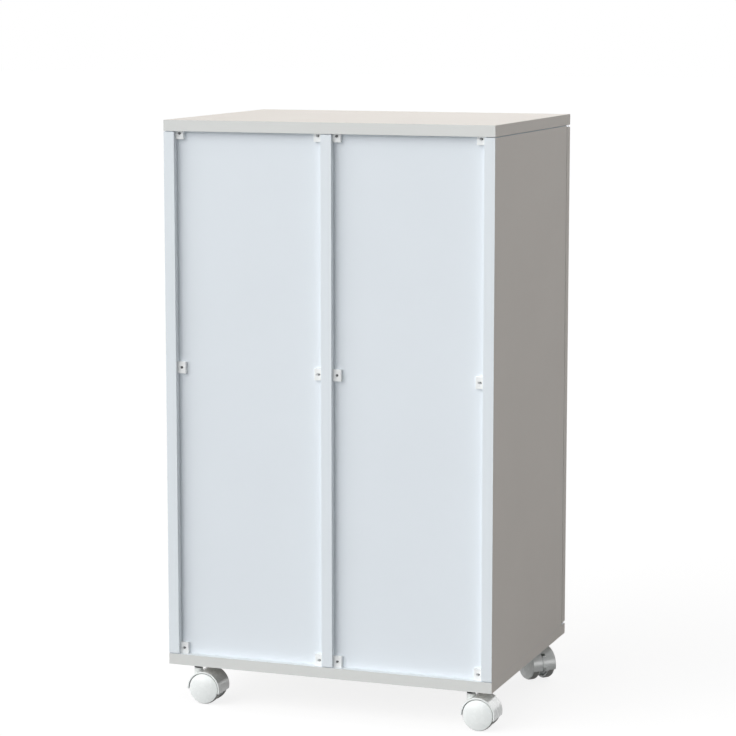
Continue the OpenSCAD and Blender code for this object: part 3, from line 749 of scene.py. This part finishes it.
# %% Where the heads are
BACK_Y = clips_low.y / MM
CLIP_WALLS = ((-234, 1), (-8, -1), (8, 1), (234, -1))
CLIP_SCREW_X, CLIP_TOP_DROP, CLIP_MIDDLE_Z, CLIP_HALF_H = 6.35, 3.4, 502.0, 8.5
CLIP_Z = [clips_high.z / MM - CLIP_TOP_DROP, CLIP_MIDDLE_Z, clips_low.z / MM + CLIP_HALF_H]
CLIP_HEAD_SUNK = 1.5
HEAD_SINK = CLIP_HEAD_SUNK / math.sqrt(2)
clip_heads = []
for wall_x, into in CLIP_WALLS:
    for z in CLIP_Z:
        x = wall_x + into * (CLIP_SCREW_X - HEAD_SINK)
        clip_heads.append(((x, BACK_Y + CLIP_T - HEAD_SINK, z), (into, 1, 0)))
# The clip screws take the darkened zinc, painted shade for their holes.
screws("clip_screws", "cabinet", "zinc_painted_hole_shade", clip_heads)

catch_low, catch_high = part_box("magnetic_catches")
CATCH_X, CATCH_SCREW_X, CATCH_HEAD_DROP = 35, 14, 3.9
CATCH_Y = (catch_low.y + catch_high.y) / 2 / MM
CATCH_HEAD_Z = catch_high.z / MM - CATCH_HEAD_DROP
catch_heads = [
    ((s * CATCH_X + k * CATCH_SCREW_X, CATCH_Y, CATCH_HEAD_Z), (0, 0, -1))
    for s in (-1, 1) for k in (-1, 1)
]
screws("case_screws", "cabinet", "satin", catch_heads)

HANDLE_X, HANDLE_Z, POST_RISE = 32, 616.0, 48
DOOR_BACK_Y, DOOR_HEAD_H = -163.5, 1.7
for side, sign in SIDES:
    strike_low, strike_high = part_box(side + "_strike_plate")
    strike_mid = (strike_low + strike_high) / 2 / MM
    heads = [((strike_mid.x, strike_high.y / MM, strike_mid.z), (0, 1, 0))]
    for k in (-1, 1):
        place = (sign * HANDLE_X, DOOR_BACK_Y + DOOR_HEAD_H, HANDLE_Z + k * POST_RISE)
        heads.append((place, (0, 1, 0)))
    screws(side + "_door_screws", side + "_door", "satin", heads)

# %% [markdown]
# ## Turned shapes
#
# Wheels, drums, hubs, necks and handles are turned shapes: half of their section is spun
# about an axis. The section is a short list of radius and height in mm, and a third number
# rounds that corner. Spinning is Blender's lathe.

# %% Rounded sections
ARC_STEPS = 5


def rounded(points):
    """Replace each corner that has a third number by an arc of that radius."""
    out = []
    for i, point in enumerate(points):
        here = Vector(point[:2])
        if len(point) < 3:
            out.append(here)
            continue
        before = Vector(points[i - 1][:2]) - here
        after = Vector(points[(i + 1) % len(points)][:2]) - here
        half = before.angle(after) / 2
        reach = point[2] / math.tan(half)
        middle = here + (before.normalized() + after.normalized()).normalized() * (
            point[2] / math.sin(half)
        )
        start = here + before.normalized() * reach - middle
        end = here + after.normalized() * reach - middle
        turn = start.angle_signed(end)
        for k in range(ARC_STEPS + 1):
            angle = -turn * k / ARC_STEPS
            c, s = math.cos(angle), math.sin(angle)
            out.append(middle + Vector((c * start.x - s * start.y, s * start.x + c * start.y)))
    return out


print("a rounded corner has", ARC_STEPS + 1, "points")

# %% [markdown]
# One bmesh can take several turned parts. So the lathe tags what it has finished, and merges,
# orients and places only what is new. A section that isn't closed starts and ends on the axis.

# %% Lathe
LATHE_STEPS = 72


def lathe(bm, points, matrix, steps=LATHE_STEPS, closed=True):
    """Spin a section of (radius, height) in mm about the matrix's Z axis."""
    profile = [bm.verts.new((p[0] * MM, 0.0, p[1] * MM)) for p in rounded(points)]
    pairs = list(zip(profile, profile[1:]))
    if closed:
        pairs.append((profile[-1], profile[0]))
    edges = [bm.edges.new(pair) for pair in pairs]
    bmesh.ops.spin(
        bm, geom=profile + edges, cent=(0, 0, 0), axis=(0, 0, 1), angle=2 * math.pi,
        steps=steps, use_merge=True, use_duplicate=False,
    )
    fresh = [v for v in bm.verts if not v.tag]
    bmesh.ops.remove_doubles(bm, verts=fresh, dist=ON_PLANE_M)
    fresh = [v for v in bm.verts if not v.tag]
    faces = list({f for v in fresh for f in v.link_faces})
    bmesh.ops.recalc_face_normals(bm, faces=faces)
    bmesh.ops.transform(bm, matrix=matrix, verts=fresh)
    for v in fresh:
        v.tag = True
    return faces


print("a full turn has", LATHE_STEPS, "steps where nothing else is said")

# %% [markdown]
# ## Casters
#
# Each caster has a drum-shaped hood that hides two wheels. All but its neck is turned about
# the axle, so the caster's own matrix carries the lathe's axis to the axle: the wheels trail
# to +X of the caster, and the axle lies across.

# %% Caster frames
CASTER_X, CASTER_REAR, CASTER_FRONT = 212.5, 180.5, -123.5
WHEEL_R, TRAIL, HOOD_R, HOOD_HALF = 23.5, 15.5, 25.5, 20.0
CASTERS = {
    # name: stem's place in mm, heading in degrees, with a brake
    "rear_left": (-CASTER_X, CASTER_REAR, 180, False),
    "rear_right": (CASTER_X, CASTER_REAR, 180, False),
    "front_left": (-CASTER_X, CASTER_FRONT, 138, True),
    "front_right": (CASTER_X, CASTER_FRONT, 330, True),
}


def stem_frame(name):
    """The floor below a caster's stem, with X to the caster's rear."""
    x, y, heading, _ = CASTERS[name]
    turn = Matrix.Rotation(math.radians(heading), 4, "Z")
    return Matrix.Translation(Vector((x, y, 0)) * MM) @ turn


def axle_frame(name):
    """The middle of the axle, with Z along it, X to the rear and -Y up."""
    lift = Matrix.Translation(Vector((TRAIL, 0, WHEEL_R)) * MM)
    return stem_frame(name) @ lift @ Matrix.Rotation(-math.pi / 2, 4, "X")


print("axle of rear_left at", [round(c / MM, 1) for c in axle_frame("rear_left").translation])

# %% [markdown]
# A wheel is a moulded cup with a soft tread round it. A domed cap closes its outer side: its
# height falls with the square of the radius, which is close to part of a large sphere. The
# cap is a little smaller than the tread, so a dark ring shows between it and the hood. The
# tread is a grey band on the same mesh, painted shade for the shadow that lies on it under
# the hood, and ribs stiffen the cup on the inside.

# %% Wheels
AXLE_BORE = 2.56
WHEEL_IN, WHEEL_OUT, FACE_IN, BORE_END = 7.2, 22.4, 18.0, 17.7
BOSS_R, CUP_R, RIM_R, TREAD_R = 5.5, 20.0, 22.3, 23.1
TREAD_LOW, FLAT_LOW, FLAT_HIGH, TREAD_HIGH, TREAD_EDGE = 8.0, 9.2, 16.2, 17.4, 0.1
CAP_RIM_R, CAP_RIM_Z, CAP_R = 22.2, 19.4, 21.6
DOME_R, DOME_H, DOME_STEPS, WHEEL_STEPS = 22.0, 3.0, 8, 96
WHEEL_SECTION = [
    (AXLE_BORE, WHEEL_IN), (BOSS_R, WHEEL_IN, 0.4), (BOSS_R, FACE_IN, 0.8),
    (CUP_R, FACE_IN, 1.0), (CUP_R, WHEEL_IN, 0.3), (RIM_R, WHEEL_IN, 0.3),
    (RIM_R, TREAD_LOW), (TREAD_R, TREAD_LOW, 0.4), (WHEEL_R, FLAT_LOW, 1.0),
    (WHEEL_R, FLAT_HIGH, 1.0), (TREAD_R, TREAD_HIGH, 0.4), (CAP_RIM_R, TREAD_HIGH),
    (CAP_RIM_R, CAP_RIM_Z, 0.4),
]
for k in range(DOME_STEPS + 1):
    part = CAP_R * (1 - k / DOME_STEPS)
    WHEEL_SECTION.append((part, WHEEL_OUT - DOME_H * (part / DOME_R) ** 2))
WHEEL_SECTION += [(0.0, BORE_END), (AXLE_BORE, BORE_END)]
RIBS, RIB_SIZE, RIB_MIDDLE = 8, (14.8, 1.0, 9.0), (12.7, 0, 13.6)
print("section points", len(WHEEL_SECTION))


def wheel(name, number):
    """Wheel 1 looks along the axle's Z, and wheel 2 the other way."""
    place = axle_frame(name)
    if number == 2:
        place = place @ Matrix.Rotation(math.pi, 4, "X")
    bm = bmesh.new()
    faces = lathe(bm, WHEEL_SECTION, place, steps=WHEEL_STEPS)
    inverse = place.inverted()
    for f in faces:
        middle = inverse @ f.calc_center_median() / MM
        outside = math.hypot(middle.x, middle.y) > CAP_RIM_R
        tread = outside and TREAD_LOW - TREAD_EDGE < middle.z < TREAD_HIGH + TREAD_EDGE
        f.material_index = 1 if tread else 0
    for k in range(RIBS):
        turn = Matrix.Rotation(2 * math.pi * k / RIBS, 4, "Z")
        rib = Matrix.Translation(Vector(RIB_MIDDLE) * MM)
        box_at(bm, RIB_SIZE, place @ turn @ rib)
    return piece(
        bm, f"{name}_wheel_{number}_turned", f"{name}_wheel_{number}",
        ["caster", "tread"], [f"{name}_wheel_{number}"],
    )


for name in CASTERS:
    for number in (1, 2):
        made = wheel(name, number)
print("wheels", 2 * len(CASTERS), "faces each", len(made.data.polygons))

# %% [markdown]
# The hood is a drum with a rounded lip at both ends. A spun shape is always a full ring, so
# a plane cuts off what lies under the hood's edge, which slopes down to the caster's rear. On
# the front casters a row of blocks, set round the axle and overlapping, cuts the slot for the
# brake lever, because one straight block couldn't follow the drum's wall.

# %% Drums
SKIRT_FRONT, SKIRT_REAR, SKIRT_ROUND = 1.5, 6.5, 0.3
SLOT_LOW, SLOT_HIGH, SLOT_BLOCKS, SLOT_BLOCK = -24.0, 52.0, 7, (6.0, 4.6, 6.8)
DRUM_IN, LIP_IN, LIP_FOOT, DRUM_STEPS = 23.9, 23.4, 19.0, 120
DRUM = [
    (DRUM_IN, -LIP_FOOT), (LIP_IN, -LIP_FOOT - 0.2), (LIP_IN, -HOOD_HALF, 0.3),
    (HOOD_R, -HOOD_HALF, 0.7), (HOOD_R, HOOD_HALF, 0.7),
    (LIP_IN, HOOD_HALF, 0.3), (LIP_IN, LIP_FOOT + 0.2), (DRUM_IN, LIP_FOOT),
]


def keep_above(bm, point, up):
    """Cut a shape with a plane, and close the cut."""
    bmesh.ops.bisect_plane(
        bm, geom=bm.verts[:] + bm.edges[:] + bm.faces[:], dist=ON_PLANE_M, plane_co=point,
        plane_no=up, clear_inner=True, clear_outer=False,
    )
    bmesh.ops.holes_fill(bm, edges=[e for e in bm.edges if e.is_boundary], sides=0)


def skirt_plane(name):
    """A point of the hood's edge, and the direction that stands up from its slope."""
    stem = stem_frame(name)
    slope = (SKIRT_REAR - SKIRT_FRONT) / (2 * HOOD_R)
    edge = Vector((TRAIL, 0, WHEEL_R - (SKIRT_REAR + SKIRT_FRONT) / 2)) * MM
    return stem @ edge, stem.to_3x3() @ Vector((slope, 0, 1)).normalized()


def drum(name):
    """A hood's drum as a mesh, with a slot where the caster has a brake."""
    bm = bmesh.new()
    lathe(bm, DRUM, axle_frame(name), steps=DRUM_STEPS)
    keep_above(bm, *skirt_plane(name))
    soften(bm, crisp_edges(bm), SKIRT_ROUND)
    shell = as_object(bm, name + "_drum")
    *_, braked = CASTERS[name]
    if not braked:
        mesh = shell.data
        bpy.data.objects.remove(shell)
        return mesh
    cutter = bmesh.new()
    out = Matrix.Translation(Vector((HOOD_R - 1, 0, 0)) * MM)
    half = SLOT_BLOCKS // 2
    for k in range(-half, half + 1):
        angle = (SLOT_LOW + SLOT_HIGH) / 2 + k * (SLOT_HIGH - SLOT_LOW) / (SLOT_BLOCKS + 1)
        turn = axle_frame(name) @ Matrix.Rotation(-math.radians(angle), 4, "Z")
        box_at(cutter, SLOT_BLOCK, turn @ out)
    return cut(shell, as_object(cutter, "slot_cutter"))


DRUMS = {name: drum(name) for name in CASTERS}
print("drums", {name: len(mesh.polygons) for name, mesh in DRUMS.items()})

# %% [markdown]
# Inside the drum, two cheeks between the wheels carry the axle. They reach the drum above its
# edge, and below it they stay within the wheels. A neck rises to the cabinet and takes the
# stem. Drum, cheeks, hub and neck overlap, as one moulding would, and become one piece.

# %% Cheeks and necks
CHEEK_IN, CHEEK_OUT, CHEEK_DROP, CHEEK_STEPS = 3.4, 5.7, 14.0, 96
CHEEK_HIGH_R, CHEEK_LOW_R = 24.7, 19.5
HUB_R, HUB_HALF = 6.0, 6.9
HUB = [
    (AXLE_BORE, -HUB_HALF), (HUB_R, -HUB_HALF, 0.5), (HUB_R, HUB_HALF, 0.5),
    (AXLE_BORE, HUB_HALF),
]
STEM_BORE, NECK_R, NECK_TOP, NECK_FOOT, BORE_FOOT = 4.06, 6.5, 51.0, 22.0, 23.7
NECK_STEPS = 48
NECK = [
    (STEM_BORE, BORE_FOOT), (STEM_BORE, NECK_TOP, 0.4), (NECK_R, NECK_TOP, 1.2),
    (NECK_R, NECK_FOOT, 0.8), (0.0, NECK_FOOT), (0.0, BORE_FOOT),
]


def cheek(name, side, radius, point, up):
    """A disc on one side of the wheel gap, cut off below a plane, as a mesh."""
    bm = bmesh.new()
    low, high = side * CHEEK_IN, side * CHEEK_OUT
    lathe(
        bm, [(AXLE_BORE, low), (radius, low, 0.3), (radius, high, 0.3), (AXLE_BORE, high)],
        axle_frame(name), steps=CHEEK_STEPS,
    )
    keep_above(bm, point, up)
    mesh = bpy.data.meshes.new("cheek")
    bm.to_mesh(mesh)
    bm.free()
    return mesh


def hood(name):
    """Hub, neck, drum and cheeks of one caster."""
    low = stem_frame(name) @ (Vector((TRAIL, 0, WHEEL_R - CHEEK_DROP)) * MM)
    bm = bmesh.new()
    lathe(bm, HUB, axle_frame(name))
    lathe(bm, NECK, stem_frame(name), steps=NECK_STEPS)
    bm.from_mesh(DRUMS[name])
    for side in (-1, 1):
        bm.from_mesh(cheek(name, side, CHEEK_HIGH_R, *skirt_plane(name)))
        bm.from_mesh(cheek(name, side, CHEEK_LOW_R, low, (0, 0, 1)))
    return piece(
        bm, name + "_hood_turned", name + "_caster", ["caster"],
        [name + "_hood"],
    )


for name in CASTERS:
    made = hood(name)
    print(made.name, "faces", len(made.data.polygons))

# %% [markdown]
# A brake lever is a moulded tab, and an axle is a plain pin. Both keep their CAD shape, and
# only their outward edges are rounded. The lever's are rounded more, because a foot presses
# on it.

# %% Levers and axles
LEVER_ROUND, AXLE_ROUND = 0.5, 0.3
for name in ("front_left", "front_right"):
    fitting(name + "_brake_lever", name + "_lever", "caster_plastic", "caster", LEVER_ROUND)
for name in CASTERS:
    fitting(name + "_axle", name + "_caster", "steel", "steel", AXLE_ROUND)
print("levers 2, axles", len(CASTERS))

# %% [markdown]
# ## Handles
#
# A handle is a bar of brushed steel on two posts. The bar's ends have a small radius, and
# the posts widen slightly where they stand on the door. The posts' bores hold the screws,
# which come through the door. The bar could be a cylinder with a bevel, but the lathe makes
# bars, posts and bores alike from their sections.

# %% Handles
BAR_Y, DOOR_FACE_Y, BAR_R, BAR_HALF = -198.5, -179.5, 5.0, 80
BAR = [(0, -BAR_HALF), (BAR_R, -BAR_HALF, 1.0), (BAR_R, BAR_HALF, 1.0), (0, BAR_HALF)]
POST_BORE, POST_FOOT_R, POST_R, POST_TOP_R = 2.05, 4.0, 3.6, 3.98
POST_H, BORE_H, POST_STEPS = 17.5, 10.5, 40
POST = [
    (POST_BORE, 0.0), (POST_FOOT_R, 0.0, 0.2), (POST_R, 1.6, 0.8), (POST_R, 14.0, 2.0),
    (POST_TOP_R, POST_H), (0.0, POST_H), (0.0, BORE_H), (POST_BORE, BORE_H),
]


def handle(side, sign):
    """A bar along Z and two posts that stand out from the door."""
    bm = bmesh.new()
    x = sign * HANDLE_X
    bar = Matrix.Translation(Vector((x, BAR_Y, HANDLE_Z)) * MM)
    lathe(bm, BAR, bar, closed=False)
    for k in (-1, 1):
        post = Matrix.Translation(Vector((x, DOOR_FACE_Y, HANDLE_Z + k * POST_RISE)) * MM)
        lathe(bm, POST, post @ Matrix.Rotation(math.pi / 2, 4, "X"), steps=POST_STEPS)
    return piece(
        bm, side + "_bar_handle", side + "_door", ["satin"], [side + "_handle"]
    )


for side, sign in SIDES:
    made = handle(side, sign)
    print(made.name, [round(c / MM, 1) for c in made.dimensions])

# %% [markdown]
# ## Bins
#
# A bin is one moulded wall of even thickness: a floor, four tapering sides, a rim that turns
# out and down, and a slot at each end to lift it by. So it starts as a flat outline with
# round corners, whose edge is extruded upwards, outwards and down again. Solidify then gives
# the wall, and a Boolean cuts the two slots.

# %% Rounded outlines
CORNER_STEPS, BEND_STEPS, BEND_RAD = 10, 3, 1.0


def outline(bm, width, depth, radius, z, centre):
    """A flat face with round corners, in mm, centred above a point."""
    made = bmesh.ops.create_grid(bm, x_segments=1, y_segments=1, size=0.5)["verts"]
    bmesh.ops.scale(bm, vec=(width * MM, depth * MM, 1.0), verts=made)
    bmesh.ops.translate(bm, vec=Vector((centre[0], centre[1], z)) * MM, verts=made)
    bmesh.ops.bevel(
        bm, geom=made, offset=radius * MM, offset_type="OFFSET", affect="VERTICES",
        segments=CORNER_STEPS, profile=0.5, material=-1, clamp_overlap=True,
    )


def pull(bm, edges, centre, scale, lift):
    """Extrude open edges, scale the new ones about the bin's axis and lift them."""
    made = bmesh.ops.extrude_edge_only(bm, edges=edges)["geom"]
    verts = [g for g in made if isinstance(g, bmesh.types.BMVert)]
    axis = Matrix.Translation(Vector((-centre[0], -centre[1], 0)) * MM)
    bmesh.ops.scale(bm, vec=(scale[0], scale[1], 1.0), verts=verts, space=axis)
    bmesh.ops.translate(bm, vec=(0, 0, lift * MM), verts=verts)
    return [g for g in made if isinstance(g, bmesh.types.BMEdge)]


def bends(bm):
    """The edges between two faces that stand at a clear angle."""
    return [e for e in bm.edges if len(e.link_faces) == 2 and e.calc_face_angle(0) > BEND_RAD]


def thicken(shell, wall):
    """Give a thin shell a wall of so many mm, inwards from its surface."""
    step = shell.modifiers.new("wall", "SOLIDIFY")
    step.thickness = wall * MM
    step.offset = -1.0
    step.use_even_offset = True


print("corners have", CORNER_STEPS, "steps")

# %% [markdown]
# The walls are drawn in slightly from the rim down, so that the bins nest. Two shallow ribs,
# pressed inwards, run round the body and keep its thin walls flat. The wall is pulled up
# from level to level, to the outline that the taper and the rib give there.

# %% Bin walls
RIM_W, RIM_D, LIP, BIN_H, SKIRT_H, BIN_WALL = 208.0, 323.0, 6.0, 300.0, 10.0, 2.5
TAPER, BIN_CORNER, RIM_ROUND = 10.0, 22.0, 1.6
FOOT_W = RIM_W - 2 * LIP - 2 * TAPER
FOOT_D = RIM_D - 2 * LIP - 2 * TAPER
RIB_Z, RIB_REACH, RIB_FLAT, RIB_IN = (90.0, 200.0), 4, 2.5, -1.2
LEVELS = []
for rib in RIB_Z:
    LEVELS += [
        (rib - RIB_REACH, 0.0), (rib - RIB_FLAT, RIB_IN),
        (rib + RIB_FLAT, RIB_IN), (rib + RIB_REACH, 0.0),
    ]
LEVELS.append((BIN_H, 0.0))


def bin_wall(centre, z):
    """A bin as a shell without thickness, open at the top."""
    bm = bmesh.new()
    outline(bm, FOOT_W, FOOT_D, BIN_CORNER - TAPER / 2, z, centre)
    ring = [e for e in bm.edges if e.is_boundary]
    width, depth, height = FOOT_W, FOOT_D, 0.0
    for level, inset in LEVELS:
        new_w = FOOT_W + 2 * TAPER * level / BIN_H + 2 * inset
        new_d = FOOT_D + 2 * TAPER * level / BIN_H + 2 * inset
        ring = pull(bm, ring, centre, (new_w / width, new_d / depth), level - height)
        width, depth, height = new_w, new_d, level
    ring = pull(bm, ring, centre, (RIM_W / width, RIM_D / depth), 0.0)
    pull(bm, ring, centre, (1.0, 1.0), -SKIRT_H)
    soften(bm, bends(bm), RIM_ROUND, BEND_STEPS)
    bmesh.ops.recalc_face_normals(bm, faces=bm.faces)
    return bm


print("levels of a bin's wall", [level for level, _ in LEVELS])

# %% [markdown]
# A grip is a slot with round ends. One bar of that section runs through the whole bin and
# cuts both grips. Cutting them after the wall has its thickness leaves clean edges all round
# the slot.

# %% Sorting bins
GRIP_W, GRIP_H, GRIP_Z, GRIP_STEPS, GRIP_FLAT = 84.0, 24.0, 262.0, 10, 0.05
LONG_EDGE_M = 0.1
BAY_X, BIN_Y = 121.0, 14.0
BIN_FLOORS = {"upper": 468.0, "lower": 74.0}
BIN_PLACES = ("upper_left", "upper_right", "lower_left", "lower_right")


def bin_place(name):
    """The middle of a bin on the floor plan, and the height it stands at."""
    level, side = name.split("_")
    return ((-BAY_X if side == "left" else BAY_X), BIN_Y), BIN_FLOORS[level]


def sorting_bin(name):
    """One bin with its wall and its two grips."""
    centre, z = bin_place(name)
    shell = as_object(bin_wall(centre, z), name + "_shell")
    thicken(shell, BIN_WALL)
    cutter = bmesh.new()
    grip = Matrix.Translation(Vector((centre[0], centre[1], z + GRIP_Z)) * MM)
    box_at(cutter, (GRIP_W, 2 * RIM_D, GRIP_H), grip)
    long_edges = [
        e for e in cutter.edges if abs((e.verts[0].co - e.verts[1].co).y) > LONG_EDGE_M
    ]
    soften(cutter, long_edges, GRIP_H / 2 - GRIP_FLAT, GRIP_STEPS)
    bm = from_mesh(cut(shell, as_object(cutter, "grip_cutter")))
    return piece(bm, name + "_moulded", "cabinet", ["bin"], [name + "_bin"])


for name in BIN_PLACES:
    made = sorting_bin(name)
print("bins", len(BIN_PLACES), "faces each", len(made.data.polygons))

# %% [markdown]
# A ring of another colour lies on each rim and clamps the bag: a flat collar with a short
# skirt inside the bin's mouth. It is made as the bin was, from an outline pulled inwards and
# down, so that collar and skirt share one wall and one even bend.

# %% Bag rings
RING_T, RING_SKIRT, RING_WALL, RING_PLAY = 3.0, 12.0, 2.0, 0.8
RING_ROUND, RING_EDGE_ROUND, RING_EDGE_ANGLE = 1.4, 0.4, 60
MOUTH_W = RIM_W - 2 * LIP - 2 * BIN_WALL - 2 * RING_PLAY
MOUTH_D = RIM_D - 2 * LIP - 2 * BIN_WALL - 2 * RING_PLAY
RING_SLOTS = {
    "upper_left": "ring_green", "upper_right": "ring_blue",
    "lower_left": "ring_yellow", "lower_right": "ring_light_grey",
}


def bag_ring(name):
    """The collar that lies on one bin's rim."""
    centre, z = bin_place(name)
    bm = bmesh.new()
    outline(bm, RIM_W, RIM_D, BIN_CORNER + LIP, z + BIN_H + RING_T, centre)
    bmesh.ops.delete(bm, geom=bm.faces[:], context="FACES_ONLY")
    ring = pull(bm, bm.edges[:], centre, (MOUTH_W / RIM_W, MOUTH_D / RIM_D), 0.0)
    pull(bm, ring, centre, (1.0, 1.0), -RING_SKIRT - RING_T)
    soften(bm, bends(bm), RING_ROUND, BEND_STEPS)
    bmesh.ops.recalc_face_normals(bm, faces=bm.faces)
    if sum(f.normal.z * f.calc_area() for f in bm.faces) < 0:
        bmesh.ops.reverse_faces(bm, faces=bm.faces)
    shell = as_object(bm, name + "_ring_shell")
    thicken(shell, RING_WALL)
    bm = from_mesh(with_modifiers(shell))
    bpy.data.objects.remove(shell)
    soften(bm, crisp_edges(bm, RING_EDGE_ANGLE), RING_EDGE_ROUND)
    return piece(
        bm, name + "_collar", "cabinet", ["ring_" + name],
        [name + "_bag_ring"],
    )


for name in RING_SLOTS:
    bag_ring(name)
print("rings", len(RING_SLOTS))

# %% [markdown]
# ## What stays as the CAD has it
#
# The cam bolts sit inside the boards and never show, so they keep their CAD mesh and only
# get the finish of what they are.

# %% Hidden nodes
HIDDEN = {"cam_bolts": "zinc"}
for node, look in HIDDEN.items():
    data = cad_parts[node].data
    data.materials.clear()
    data.materials.append(LOOKS[look])
print("hidden nodes dressed", list(HIDDEN))
